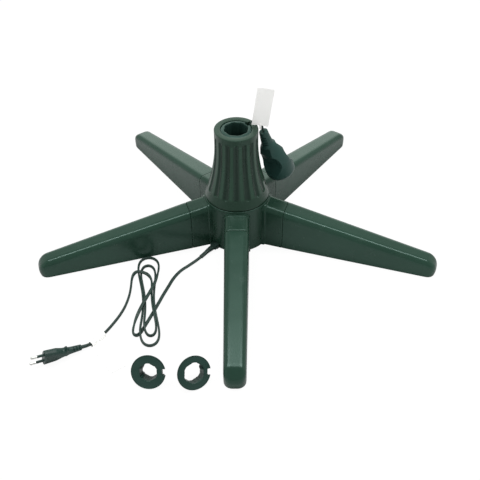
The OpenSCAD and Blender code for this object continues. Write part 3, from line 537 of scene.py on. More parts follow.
@dataclass(frozen=True)
class Finish:
    """A material that is made once and shared by the pieces that have it."""

    name: str

    def material(self) -> bpy.types.Material:
        """The material, made on first use.

        Returns:
            The material.
        """
        found = bpy.data.materials.get(self.name)
        if found is None:
            found = bpy.data.materials.new(self.name)
            found.use_nodes = True
            self.dress(Bench(found.node_tree))
        return found

    def dress(self, bench: Bench) -> None:
        """Fills the material's node tree."""
        raise NotImplementedError


@dataclass(frozen=True)
class MouldedPlastic(Finish):
    """Injection-moulded plastic: faint flow clouds, a fine skin, rubbed and dusty patches.

    Attributes:
        colour: base colour, linear.
        gloss: roughness of clean skin.
        grain: bumps a metre of the skin.
        grain_depth: height of the skin's bumps, in metres.
        clouding: how far the colour wanders.
        dust: share of pale dust that the colour takes on in patches.
    """

    colour: tuple[float, float, float] = (0.010, 0.030, 0.019)
    gloss: float = 0.26
    grain: float = 900.0
    grain_depth: float = 0.000012
    clouding: float = 0.22
    dust: float = 0.02

    def dress(self, bench: Bench) -> None:
        """Colour from clouds and dust, roughness from smears, normal from ripples and grain.

        Args:
            bench: the material's node tree.
        """
        clouds = bench.noise(9.0, 3.0)
        flow = bench.noise(5.0, 4.0, bench.stretched((1.0, 1.0, 3.5)))
        dust = bench.noise(55.0, 6.0).between(0.52, 0.78)
        specks = bench.noise(1300.0, 2.0).between(0.70, 0.78)
        body = bench.mix(
            clouds,
            scaled(self.colour, 1 - self.clouding),
            scaled(self.colour, 1 + self.clouding),
        )
        body = bench.mix(flow.between(0.45, 0.75) * 0.25, body, scaled(self.colour, 1.35))
        # adds painted shade and painted highlight where a finish has them
        body = self.painted_shade_and_highlight(bench, body)
        settled = (dust * 0.5 + specks * 0.5) * self.dust
        body = bench.mix(settled, body, rgba((0.42, 0.44, 0.40)))
        smears = bench.noise(26.0, 5.0, bench.stretched((1.0, 1.0, 0.4)))
        rough = self.gloss + smears * 0.10 + dust * 0.06 - 0.04
        ripple = bench.noise(38.0, 1.0)
        skin = bench.noise(self.grain, 2.0)
        normal = bench.bump(ripple, 0.00018)
        normal = bench.bump(skin, self.grain_depth, normal)
        bench.surface({
            "Base Color": body, "Roughness": rough, "Normal": normal,
            "Specular IOR Level": 0.32, "Specular Tint": rgba((0.72, 1.0, 0.92)),
        })

    def painted_shade_and_highlight(self, bench: Bench, body: Value) -> Value:
        """The colour with its painted shade and highlight; plain pieces have none."""
        return body


@dataclass(frozen=True)
class FlutedPlastic(MouldedPlastic):
    """Moulded plastic whose flutes hold grime, while the ribs between them are rubbed paler.

    Attributes:
        flutes: flutes round the object's Z axis, the first of them at -90 degrees.
        span: heights between which the flutes run, in metres.
        fade: lengths over which the painted shade and highlight set in at the span's foot and end at
            its top, in metres.
        painted_shade: share of painted shade in the flutes, and what is left of the colour under it.
        painted_highlight: share of painted highlight on the ribs, and how much paler it is.
    """

    flutes: int = 16
    span: tuple[float, float] = (0.099, 0.196)
    fade: tuple[float, float] = (0.004, 0.003)
    painted_shade: tuple[float, float] = (0.7, 0.35)
    painted_highlight: tuple[float, float] = (0.6, 1.9)

    def painted_shade_and_highlight(self, bench: Bench, body: Value) -> Value:
        """Paints shade where cos(flutes * (angle + 90)) is high, in the flutes, and a highlight where
        it is low, on the ribs.

        Args:
            bench: the material's node tree.
            body: the colour without painted light.

        Returns:
            The colour with painted shade and painted highlight.
        """
        x, y, z = bench.axes(bench.place())
        wave = ((y.turned(x) + math.pi / 2) * self.flutes).cosine()
        low, high = self.span
        inside = z.between(low, low + self.fade[0]) * (1 - z.between(high - self.fade[1], high))
        # painted highlight on the ribs and painted shade in the flutes, in place of the light and
        # shade that fall on the fluted column
        pale = (1 - wave.between(-0.9, -0.2)) * inside
        dark = wave.between(-0.2, 0.5) * inside
        body = bench.mix(dark * self.painted_shade[0], body, scaled(self.colour, self.painted_shade[1]))
        return bench.mix(pale * self.painted_highlight[0], body, scaled(self.colour, self.painted_highlight[1]))


@dataclass(frozen=True)
class SoftSkin(Finish):
    """Soft PVC of cords and plugs: duller, with drag marks and lint."""

    colour: tuple[float, float, float] = (0.014, 0.034, 0.027)
    gloss: float = 0.42

    def dress(self, bench: Bench) -> None:
        """Colour from clouds and lint, roughness from drag marks, normal from a fine skin.

        Args:
            bench: the material's node tree.
        """
        clouds = bench.noise(30.0, 4.0)
        lint = bench.noise(420.0, 3.0).between(0.66, 0.74)
        body = bench.mix(clouds, scaled(self.colour, 0.75), scaled(self.colour, 1.3))
        body = bench.mix(lint * 0.06, body, rgba((0.45, 0.47, 0.44)))
        rough = self.gloss + bench.noise(90.0, 4.0) * 0.16 - 0.06
        normal = bench.bump(bench.noise(700.0, 2.0), 0.00003)
        bench.surface(
            {"Base Color": body, "Roughness": rough, "Normal": normal, "Specular IOR Level": 0.4}
        )


@dataclass(frozen=True)
class Metal(Finish):
    """Bare or plated metal with fine drawing marks and a dull bloom."""

    colour: tuple[float, float, float] = (0.60, 0.61, 0.62)
    bloom: tuple[float, float, float] = (0.40, 0.41, 0.42)
    gloss: float = 0.28

    def dress(self, bench: Bench) -> None:
        """Colour from bloom, roughness and normal from marks drawn out along Z.

        Args:
            bench: the material's node tree.
        """
        bloom = bench.noise(120.0, 5.0).between(0.45, 0.75)
        marks = bench.noise(900.0, 3.0, bench.stretched((1.0, 1.0, 0.08)))
        body = bench.mix(bloom * 0.6, rgba(self.colour), rgba(self.bloom))
        rough = self.gloss + marks * 0.14 + bloom * 0.12 - 0.05
        normal = bench.bump(marks, 0.00002)
        bench.surface({"Base Color": body, "Roughness": rough, "Metallic": 1.0, "Normal": normal})


@dataclass(frozen=True)
class Nylon(Finish):
    """Natural nylon or acetal: waxy, off-white, with darker greasy patches."""

    colour: tuple[float, float, float] = (0.78, 0.75, 0.67)
    grease: tuple[float, float, float] = (0.42, 0.38, 0.30)

    def dress(self, bench: Bench) -> None:
        """Colour and roughness from greasy patches, normal from a fine skin.

        Args:
            bench: the material's node tree.
        """
        grease = bench.noise(85.0, 5.0).between(0.50, 0.80)
        body = bench.mix(bench.noise(20.0), scaled(self.colour, 0.92), rgba(self.colour))
        body = bench.mix(grease * 0.45, body, rgba(self.grease))
        rough = 0.44 - grease * 0.16 + bench.noise(300.0) * 0.08
        normal = bench.bump(bench.noise(800.0, 2.0), 0.00002)
        bench.surface({"Base Color": body, "Roughness": rough, "Normal": normal})


@dataclass(frozen=True)
class Rubber(Finish):
    """Matt rubber or pressed carbon: sooty, with pale scuffs."""

    colour: tuple[float, float, float] = (0.022, 0.022, 0.022)
    scuff: tuple[float, float, float] = (0.16, 0.15, 0.14)

    def dress(self, bench: Bench) -> None:
        """Colour from scuffs, roughness from clouds, normal from a coarse grain.

        Args:
            bench: the material's node tree.
        """
        scuffs = bench.noise(230.0, 6.0).between(0.58, 0.76)
        body = bench.mix(scuffs * 0.5, rgba(self.colour), rgba(self.scuff))
        rough = 0.70 + bench.noise(60.0, 4.0) * 0.20
        normal = bench.bump(bench.noise(1500.0, 3.0), 0.00005)
        bench.surface({"Base Color": body, "Roughness": rough, "Normal": normal})


@dataclass(frozen=True)
class Paper(Finish):
    """Blank coated label paper: nearly white, with fibres and a slight unevenness."""

    colour: tuple[float, float, float] = (0.90, 0.90, 0.88)

    def dress(self, bench: Bench) -> None:
        """Colour from cloud and fibres, roughness from the coating, normal from fibres.

        Args:
            bench: the material's node tree.
        """
        cloud = bench.noise(60.0, 4.0)
        fibres = bench.noise(500.0, 5.0, bench.stretched((1.0, 4.0, 1.0)))
        body = bench.mix(cloud, scaled(self.colour, 0.965), rgba(self.colour))
        body = bench.mix(fibres.between(0.60, 0.80) * 0.12, body, scaled(self.colour, 0.88))
        rough = 0.52 + fibres * 0.18
        normal = bench.bump(fibres, 0.00004)
        bench.surface({"Base Color": body, "Roughness": rough, "Normal": normal})


HUB_PLASTIC = MouldedPlastic("hub_plastic_green")
LEG_PLASTIC = MouldedPlastic("leg_plastic_green", colour=(0.013, 0.036, 0.024), gloss=0.23)
COLUMN_PLASTIC = FlutedPlastic(
    "column_plastic_green", colour=(0.012, 0.029, 0.018), gloss=0.27, grain_depth=0.000016
)
ADAPTER_PLASTIC = MouldedPlastic(
    "adapter_plastic_green", colour=(0.014, 0.036, 0.029), gloss=0.36, grain_depth=0.00002
)
OUTLET_PLASTIC = MouldedPlastic(
    "outlet_plastic_green", colour=(0.014, 0.041, 0.035), gloss=0.40, grain_depth=0.00003
)
CORD_SKIN = SoftSkin("cord_skin_green")
PLUG_SKIN = SoftSkin("plug_skin_green", colour=(0.010, 0.032, 0.026), gloss=0.40)
LEAD_SKIN = SoftSkin("lead_skin_brown", colour=(0.10, 0.055, 0.032), gloss=0.40)
BLACK_PLASTIC = SoftSkin("block_plastic_black", colour=(0.014, 0.014, 0.015), gloss=0.45)
WHITE_PLASTIC = Nylon("terminal_plastic_white", colour=(0.80, 0.80, 0.77), grease=(0.6, 0.58, 0.52))
GEAR_NYLON = Nylon("gear_nylon")
BEARING_NYLON = Nylon("bearing_acetal", colour=(0.74, 0.72, 0.66), grease=(0.46, 0.42, 0.34))
CARBON = Rubber("brush_carbon", colour=(0.05, 0.048, 0.045), scuff=(0.22, 0.21, 0.20))
PAD_RUBBER = Rubber("pad_rubber")
ZINC = Metal("zinc_steel")
BRASS = Metal("contact_brass", colour=(0.72, 0.56, 0.28), bloom=(0.48, 0.33, 0.15), gloss=0.24)
NICKEL = Metal("pin_nickel", colour=(0.78, 0.77, 0.75), bloom=(0.60, 0.58, 0.54), gloss=0.16)
LABEL_PAPER = Paper("label_paper")


# ---- camera


@dataclass(frozen=True)
class Viewpoint:
    """The photograph's camera: it looks at the row's origin, which lies off the frame's middle.

    Attributes:
        distance: from the origin to the lens, in metres.
        elevation: above the floor, degrees.
        azimuth: to the right of the front, degrees.
        origin_px: where the origin falls in the 480 px frame.
        roll: of the camera about its own axis, degrees.
        focal_px: focal length in pixels.
    """

    distance: float = 1.26442
    elevation: float = 40.87
    azimuth: float = 1.29
    origin_px: tuple[float, float] = (237.72, 230.62)
    roll: float = -0.93
    focal_px: float = 736.75
    frame_px: float = 480.0
    sensor_mm: float = 36.0

    def place(self) -> bpy.types.Object:
        """Makes the camera, turns it so that the origin falls on its pixel, and sets it.

        Returns:
            The camera.
        """
        e, a = math.radians(self.elevation), math.radians(self.azimuth)
        back = np.array([math.sin(a) * math.cos(e), -math.cos(a) * math.cos(e), math.sin(e)])
        right = np.array([math.cos(a), math.sin(a), 0.0])
        up = np.cross(back, right)
        half = self.frame_px / 2
        ray = unit([
            (self.origin_px[0] - half) / self.focal_px,
            -(self.origin_px[1] - half) / self.focal_px,
            -1.0,
        ])
        ahead = np.array([0.0, 0.0, -1.0])
        axis = np.cross(ray, ahead)
        angle = math.asin(np.linalg.norm(axis))
        tilt = np.array(Matrix.Rotation(angle, 3, unit(axis).tolist()))
        turned = np.column_stack([right, up, back]) @ turn(self.roll, "Z") @ tilt
        data = bpy.data.cameras.new("camera")
        data.sensor_width = self.sensor_mm
        data.lens = self.focal_px / self.frame_px * self.sensor_mm
        data.clip_end = 50.0
        camera = bpy.data.objects.new("camera", data)
        bpy.context.scene.collection.objects.link(camera)
        place = np.eye(4)
        place[:3, :3] = turned
        place[:3, 3] = back * self.distance
        camera.matrix_world = Matrix(place.tolist())
        bpy.context.scene.camera = camera
        return camera


# ---- cords


class Lay(Enum):
    """How a cord's wide side lies, in degrees of roll."""

    FLAT = 0.0
    EDGE = 90.0


@dataclass(frozen=True)
class TwinCord:
    """Section of the flat twin cord: two round cores side by side with a groove between them."""

    width: float = 5.4
    thickness: float = 3.2
    groove: float = 0.45
    groove_w: float = 0.42
    sides: int = 32

    def section(self) -> Array:
        """Outline (a, b), a along the wide side.

        With r half the thickness and c = half the width less r, the half thickness at a is
        sqrt(r^2 - max(0, |a| - c)^2) less groove * exp(-(a / groove width)^2).

        Returns:
            The outline's points.
        """
        a = circle(self.sides)
        across = self.width / 2 * np.cos(a)
        r = self.thickness / 2
        reach = self.width / 2 - r
        beyond = np.maximum(0, np.abs(across) - reach)
        half = np.sqrt(np.maximum(0, r * r - beyond**2))
        half = half - self.groove * np.exp(-((across / self.groove_w) ** 2))
        return np.stack([across, np.sign(np.round(np.sin(a), 9)) * half], -1)


@dataclass
class MainsCord:
    """Mains cord from the hub's gland through the hank to the plug: one unbroken cord.

    Attributes:
        hank_turn: how far the hank is turned from the Y axis, degrees.
        hank_span: turn numbers at which the hank starts and ends.
        half_length, waist, belly: sizes of the first loop, each with what it loses a turn.
        shift, skew: the loops' place along and across the hank, and the push of their ends.
        lead_crossings: turn numbers at which the cord climbs over itself.
    """

    cord: TwinCord = field(default_factory=TwinCord)
    gland_reach: float = 68.0
    gland_z: float = 5.5
    length_m: float = 1.277
    hank_at: tuple[float, float] = (-133.0, -165.0)
    hank_turn: float = 2.9
    hank_span: tuple[float, float] = (-0.145, 1.87)
    hank_rings: int = 96
    half_length: tuple[float, float] = (99.0, 19.0)
    waist: tuple[float, float] = (10.0, 3.2)
    belly: tuple[float, float] = (27.0, 8.8)
    shift: tuple[float, float] = (-4.5, -2.0)
    skew: float = 6.8
    lead_crossings: tuple[float, ...] = (0.367, 0.715, 1.372, 1.69)
    hump_height: float = 3.9
    hump_width: float = 0.045
    start_height: float = 6.1

    def hank(self, q: Array) -> Array:
        """Points (x, y, z, roll) of the hank at turn numbers q.

        With A the angle 2 pi q, and each pair of sizes (p, l) read as p - l q, a point lies
        half length * cos A + shift along the hank. Across it lies at
        shift - skew cos A - sin A (waist + belly cos^2 A), which draws the loop in at its
        waist. The cord lies on edge and rises in a bell of height over each crossing.

        Args:
            q: turn numbers.

        Returns:
            The points, one row each.
        """
        a = 2 * np.pi * q
        half, waist, belly = (
            first - loss * q for first, loss in (self.half_length, self.waist, self.belly)
        )
        along = self.shift[0] + half * np.cos(a)
        bulge = waist + belly * np.cos(a) ** 2
        across = self.shift[1] - self.skew * np.cos(a) - np.sin(a) * bulge
        t = math.radians(self.hank_turn)
        x = self.hank_at[0] - along * math.sin(t) + across * math.cos(t)
        y = self.hank_at[1] + along * math.cos(t) + across * math.sin(t)
        z = self.cord.width / 2 + 0.1 + self.start_height * self.bell(q, self.hank_span[0])
        for crossing in self.lead_crossings:
            z = z + self.hump_height * self.bell(q, crossing)
        return np.stack([x, y, z, np.full_like(q, Lay.EDGE.value)], -1)

    def bell(self, q: Array, at: float) -> Array:
        """exp(-((q - at) / hump width)^2)."""
        return np.exp(-(((q - at) / self.hump_width) ** 2))

    def route(self) -> Array:
        """The whole cord's points (x, y, z, roll): lead, hank and tail.

        Returns:
            The points, one row each.
        """
        low, high = self.hank_span
        q = np.linspace(low, high, round((high - low) * self.hank_rings) + 1)
        hank = self.hank(q)
        start = polar(self.gland_reach, GLAND_AZ, self.gland_z)
        lead = np.array([
            [*start, Lay.FLAT.value], [-49.4, -57.8, 5.2, 0], [-56, -65.5, 3.8, 0], [-66, -76, 2.2, 0],
            [-79, -89, 1.7, 0], [-91, -101, 1.7, 0], [-101, -118, 1.7, 0],
            [-107.5, -136, 1.7, 0], [-113.5, -152.5, 1.7, 0], [-119.5, -171, 1.7, 0],
            [-126, -191, 1.7, 0], [-132, -208, 1.7, 0], [-137, -222, 1.7, 0],
            [-140.5, -231.5, 1.8, 0], [-144, -237.5, 2.5, 35], [-148.5, -238.5, 3, 75],
            [-152, -234, 3.1, 88], [-152.6, -226, 3.2, 88], [-152, -217, 3.6, 70],
            [-150.6, -208, 4.9, 35], [-147.4, -196, 7.2, 0], [-143.4, -182, 8, 0],
            [-138.8, -167, 8, 0], [-133.6, -151.5, 8, 0], [-129.4, -136, 8.2, 10],
            [-126.8, -122, 8.7, 50], hank[0],
        ])
        tail = np.array([
            hank[-1], [-137.2, -120.5, 5, 80], [-142.2, -115, 7.2, 40], [-149, -111.4, 8.1, 5],
            [-156, -109.2, 8.1, 5], [-161.6, -109.4, 7, 30], [-165.6, -113.5, 5, 65],
            [-167.2, -122.5, 3.4, 88], [-166.6, -140, 2.8, 90], [-167.2, -160, 2.8, 90],
            [-170.6, -181, 2.8, 90], [-176, -198, 2.8, 90], [-182.5, -213, 2.8, 90],
            [-190, -227.5, 2.8, 90], [-197, -238.5, 2.8, 90], [-204, -248.5, 3, 88],
            [-210.3, -255.6, 3.7, 82], [*PLUG_BACK, PLUG_ROLL],
        ])
        whole = np.vstack([smooth_route(lead, 6)[:-1], hank, smooth_route(tail, 6)[1:]])
        return eased(whole, 3)

    def wide_side(self, route: Array) -> Array:
        """Direction of the wide side: level and square to the cord, raised by its roll.

        Args:
            route: points (x, y, z, roll).

        Returns:
            A direction for each point.
        """
        t = unit(np.gradient(route[:, :3], axis=0))
        side = unit(np.cross(t, [0, 0, 1]))
        top = np.cross(side, t)
        roll = np.radians(route[:, 3:4])
        return np.cos(roll) * side + np.sin(roll) * top

    def build(self) -> tuple[bpy.types.Object, Array]:
        """Makes the cord.

        Returns:
            The cord and its centre line.
        """
        route = self.route()
        path = route[:, :3]
        piece = Piece(
            "mains_cord", "stand", "cord_skin",
            ("mains_cord_lead", "mains_cord_hank", "mains_cord_tail"), sharp_deg=60,
        )
        piece.grid(swept(path, self.wide_side(route), self.cord.section()), close_v=True, caps=True)
        LOG.info("mains cord's path is %.3f m long", path_length(path) * MM)
        return piece.build(CORD_SKIN), path

    def declare(self, cord: bpy.types.Object, path: Array) -> None:
        """Works out the cord's start, its width and its path in metres, and keeps none of them."""
        tuple(path[0] * MM)
        self.cord.width * MM
        (path * MM).tolist()


def eased(route: Array, passes: int) -> Array:
    """A line of points with each inner point moved to the mean of itself and its neighbours.

    Args:
        route: the line's points.
        passes: how often they are moved.

    Returns:
        The new points.
    """
    for _ in range(passes):
        middle = (route[:-2] + 2 * route[1:-1] + route[2:]) / 4
        route = np.vstack([route[:1], middle, route[-1:]])
    return route


@dataclass
class OutletPlace:
    """Where the outlet hangs: its own frame has +Z from its face to its neck."""

    az: float = 25.0
    foot_r: float = 81.0
    foot_z: float = 101.0
    lean: float = 20.0
    flat_az: float = 23.0
    length: float = 66.5
    neck_len: float = 28.0
    bend: float = 4.4
    bend_rise: float = 1.25
    bend_loss: float = 0.45

    def foot(self) -> Array:
        """Middle of its face."""
        return polar(self.foot_r, self.az, self.foot_z)

    def along(self) -> Array:
        """Direction from its face to its neck."""
        return turn(self.az, "Z") @ turn(-self.lean, "Y") @ np.array([0.0, 0.0, 1.0])

    def bow(self, z: Array) -> Array:
        """Shift of the body's soft upper end at height z, to be taken off.

        Towards the column it is bend * S(rise * w) * (1 - loss * w^3), with w the share of the
        way from a quarter of the body's length to the neck's top, and S the smooth step.

        Args:
            z: heights in the outlet's own frame.

        Returns:
            The shift for each height.
        """
        start = self.length / 4
        way = np.clip((z - start) / (self.length + self.neck_len - start), 0, 1)[..., None]
        share = smoothstep(way * self.bend_rise)
        a = math.radians(self.flat_az)
        shift = self.bend * share * (1 - self.bend_loss * way**3)
        return shift * np.array([math.cos(a), -math.sin(a), 0.0])

    def put(self, points: Array) -> Array:
        """Points of its own frame, in the row frame."""
        spin = turn(self.az, "Z") @ turn(-self.lean, "Y") @ turn(self.flat_az, "Z")
        return moved(points, spin, self.foot())


@dataclass
class OutletCord:
    """Short cord that carries the outlet: up beside the cup, over the rim, into the neck.

    Attributes:
        run_r: how far from the axis it rises beside the cup.
        end_share: share of the outlet's bend that its end follows.
    """

    cord: TwinCord = field(default_factory=TwinCord)
    place: OutletPlace = field(default_factory=OutletPlace)
    run_r: float = 23.4
    cup_floor_z: float = 46.0
    length_m: float = 0.195
    end_share: float = 0.45

    def build(self) -> bpy.types.Object:
        """Makes the cord.

        Returns:
            The finished object.
        """
        out = polar(1.0, SLOT_AZ)
        side = polar(1.0, SLOT_AZ + 90)
        hang = polar(1.0, self.place.az + 90)
        along = self.place.along()
        top = self.place.foot() + along * (self.place.length + self.place.neck_len)
        top = top - polar(self.place.bend * self.end_share, self.place.az)

        def beside(more: float, z: float, shift: Sequence[float] = (0, 0, 0)) -> list[float]:
            """Route point in the slot's plane, more millimetres out than the run."""
            return [*(out * (self.run_r + more) + [0, 0, z] + shift), 0.0]

        run = [self.cup_floor_z - 2, self.cup_floor_z + 14, 90, 120, 150, 178]
        route = np.array([
            *[beside(0, z) for z in run],
            beside(0.6, 188), beside(2.7, 197), beside(6.4, 204.6, np.array([-0.1, -0.2, 0])),
            [28.6, 19.2, 208.7, 0.3], [34.3, 19.8, 208.3, 0.7], [39, 20, 203.8, 1],
            [*(top + along * 6), 1], [*top, 1],
        ])
        line = smooth_route(route, 8)
        path = line[:, :3]
        wide = side * (1 - line[:, 3:4]) + hang * line[:, 3:4]
        piece = Piece("outlet_flex", "column", "cord_skin", ("outlet_cord",), sharp_deg=60)
        piece.grid(swept(path, wide, self.cord.section()), close_v=True, caps=True)
        cord = piece.build(CORD_SKIN)
        LOG.info("outlet cord's path is %.3f m long", path_length(path) * MM)
        self.cord.width * MM
        return cord


# ---- gland, plug and tags


@dataclass
class Gland:
    """Strain relief where the cord leaves the hub: a stepped block, then a slit taper.

    Attributes:
        inner_len, taper_end: lengths before and after the point where the free cord starts.
        wall_at: where the hub's wall is, from the inner end; what follows counts from it.
        inside, block, step, neck: half width and half height of the parts, in their order.
        neck_loss: what the neck loses of both down to its end.
    """

    inner_len: float = 16.6
    taper_end: float = 24.0
    wall_at: float = 2.2
    inside: tuple[float, float] = (5.4, 2.7)
    block: tuple[float, float] = (7.0, 4.9)
    step: tuple[float, float] = (6.2, 4.3)
    neck: tuple[float, float] = (4.5, 3.3)
    neck_loss: tuple[float, float] = (1.4, 1.1)
    neck_len: float = 20.4
    block_end: float = 5.2
    step_end: float = 9.0
    slits_end: float = 27.0
    slit_pitch: float = 3.6
    slit_w: float = 1.3
    slit_depth: float = 1.1
    floor_gap: float = 0.3
    squareness: float = 0.45
    sections: int = 40

    def build(self, path: Array) -> bpy.types.Object:
        """Makes the gland along the cord's first millimetres.

        Args:
            path: centre line of the mains cord.

        Returns:
            The finished object.
        """
        inside = path[0] - polar(1.0, GLAND_AZ) * np.arange(self.inner_len, 0, -0.4)[:, None]
        line = np.vstack([inside, path])
        far = np.concatenate([[0], np.cumsum(np.linalg.norm(np.diff(line, axis=0), axis=1))])
        whole = self.inner_len + self.taper_end
        s = np.concatenate([np.arange(0, 6, 0.5), np.arange(6, whole, 0.3)])
        line = np.stack([np.interp(s, far, line[:, k]) for k in range(3)], -1)
        out = s - self.wall_at
        taper = np.clip((out - self.step_end) / self.neck_len, 0, 1)
        parts = [out < 0.2, out < self.block_end, out < self.step_end]
        half_w, half_h = (
            np.select(parts, sizes, end - loss * taper)
            for *sizes, end, loss in zip(
                self.inside, self.block, self.step, self.neck, self.neck_loss
            )
        )
        slitted = (out > self.step_end + 0.5) & (out < self.slits_end)
        slit = slitted & (np.mod(out, self.slit_pitch) < self.slit_w)
        half_w = half_w - slit * self.slit_depth
        room = np.where(out < 0.2, self.inside[1], line[:, 2] - self.floor_gap)
        half_h = np.minimum(half_h, room)
        a = circle(self.sections)
        ring = superellipse(np.stack([np.cos(a), np.sin(a)], -1), self.squareness)
        section = ring[None] * np.stack([half_w, half_h], -1)[:, None]
        t = unit(np.gradient(line, axis=0))
        wide = unit(np.cross(t, [0, 0, 1]))
        piece = Piece("cord_relief", "stand", "cord_skin", ("cord_gland",))
        piece.grid(swept(line, wide, section), close_v=True, caps=True)
        return piece.build(CORD_SKIN)


def superellipse(wave: Array, power: float) -> Array:
    """sign(w) |w|^power, which squares up a circle's sine or cosine."""
    return np.sign(wave) * np.abs(wave) ** power


@dataclass
class Plug:
    """Flat two-pin plug: its own frame has +X from the cord's end to the pins, width along Z.

    Attributes:
        slit_bridge: cosine from which the slits cut in, and the span over which they deepen.
        panel_span: the sunk panel's gaps to the relief and to the pins' face.
        panel_ease: lengths of the panel's slopes at these two ends and at its sides.
        square_len: length over which the section squares up behind the relief.
    """

    az: float = 209.5
    pitch: float = 9.2
    relief_len: float = 25.0
    length: float = 38.0
    pin_pitch: float = 18.6
    sleeve_r: float = 2.0
    sleeve_wall: float = 0.38
    sleeve_len: float = 10.0
    sleeve_in: float = 0.6
    ring_slits: tuple[float, ...] = (11.0, 15.4, 19.8)
    slit_half_w: float = 0.75
    slit_share: float = 0.3
    slit_bridge: tuple[float, float] = (0.25, 0.2)
    panel_sink: float = 1.4
    panel_border: float = 3.6
    panel_span: tuple[float, float] = (19.0, 2.5)
    panel_ease: tuple[float, float, float] = (4.0, 2.0, 1.6)
    squareness: float = 0.32
    square_len: float = 20.0
    bump_at: float = 5.2
    bump_up: float = 6.8
    bump_down: float = 3.1
    bump_half_w: float = 1.8

    def put(self, points: Array) -> Array:
        """Points of its own frame, in the row frame."""
        spin = turn(self.az, "Z") @ turn(-self.pitch, "Y") @ turn(PLUG_ROLL - 90, "X")
        return moved(points, spin, PLUG_BACK)

    def half_width(self, x: Array) -> Array:
        """Half width at x: the relief's taper, a waist and the wide face.

        Args:
            x: distances from the cord's end.

        Returns:
            The half widths.
        """
        root = self.relief_len
        stations = np.array([
            [0, 3.0], [7.0, 3.2], [8.0, 4.7], [root - 1, 5.8], [root + 1.5, 6.3],
            [root + 11, 7.7], [root + 17, 10.8], [root + 20, 12.5], [root + 23, 13.1],
            [root + 27, 13.8], [root + 34, 15.0], [root + self.length - 0.6, 15.4],
            [root + self.length, 14.8],
        ])
        return np.interp(x, stations[:, 0], stations[:, 1])

    def grip(self, x: Array, c: Array) -> Array:
        """Rise of the sharp grip bumps at x, less on the side that lies on the floor (c < 0).

        Args:
            x: distances from the cord's end.
            c: cosine of the section's angle.

        Returns:
            What the bumps add to the half width.
        """
        beyond = x - self.relief_len - self.bump_at
        ridge = np.exp(-((beyond / self.bump_half_w) ** 2))
        return ridge * np.where(c > 0, self.bump_up, self.bump_down)

    def half_thickness(self, x: Array) -> Array:
        """Half thickness at x: thin at the cord, full from the grip on.

        Args:
            x: distances from the cord's end.

        Returns:
            The half thicknesses.
        """
        root = self.relief_len
        stations = np.array([
            [0, 2.5], [7.0, 2.7], [8.0, 4.2], [root - 1, 5.1], [root + 3, 5.6], [root + 10, 6.2],
            [root + 20, 6.9], [root + self.length - 0.8, 6.9], [root + self.length, 6.2],
        ])
        return np.interp(x, stations[:, 0], stations[:, 1])

    def build(self) -> bpy.types.Object:
        """Makes body, relief and pin sleeves as one moulded piece.

        A section point at angle A is (half thickness * sin^p A, half width * cos^p A), where p
        is 1 on the relief and falls to 1 - squareness behind it.

        Returns:
            The finished object.
        """
        root, end = self.relief_len, self.relief_len + self.length
        x = np.unique(np.concatenate([np.linspace(0, root, 126), np.linspace(root, end, 90)]))
        a = circle(72)
        power = 1 - self.squareness * smoothstep((x - root) / self.square_len)
        c, s = np.cos(a)[None], np.sin(a)[None]
        half_w = self.half_width(x)[:, None]
        w = superellipse(c, power[:, None]) * (half_w + self.grip(x[:, None], c))
        h = superellipse(s, power[:, None]) * self.half_thickness(x)[:, None]
        in_slit = np.zeros_like(x)
        for at in self.ring_slits:
            in_slit = np.maximum(in_slit, np.exp(-(((x - at) / self.slit_half_w) ** 4)))
        bridge = smoothstep((np.abs(c) - self.slit_bridge[0]) / self.slit_bridge[1])
        shrink = 1 - self.slit_share * in_slit[:, None] * bridge
        w, h = w * shrink, h * shrink
        back_gap, face_gap = self.panel_span
        back_ease, face_ease, side_ease = self.panel_ease
        panel = smoothstep((x[:, None] - root - back_gap) / back_ease)
        panel = panel * smoothstep((end - face_gap - x[:, None]) / face_ease)
        inner = smoothstep((half_w - self.panel_border - np.abs(w)) / side_ease)
        h = h - np.sign(s) * self.panel_sink * panel * inner * (np.abs(s) > 0.05)
        points = np.stack([x[:, None] + 0 * w, h, w], -1)
        piece = Piece("plug_shell", "stand", "plug_plastic", ("plug_body",), sharp_deg=40)
        piece.grid(self.put(points), close_v=True, caps=True)
        ring = circle(28)
        hole_r = self.sleeve_r - self.sleeve_wall
        profile = rounded([
            [hole_r, -self.sleeve_in, 0], [self.sleeve_r, -self.sleeve_in, 0],
            [self.sleeve_r, self.sleeve_len, 0.25], [hole_r, self.sleeve_len, 0],
        ])
        for side in (-1, 1):
            tube = revolved(profile, ring)
            tube = np.stack([
                tube[..., 2] + end, tube[..., 0], tube[..., 1] + side * self.pin_pitch / 2
            ], -1)
            piece.grid(self.put(tube), close_u=True, close_v=True)
        return piece.build(PLUG_SKIN)


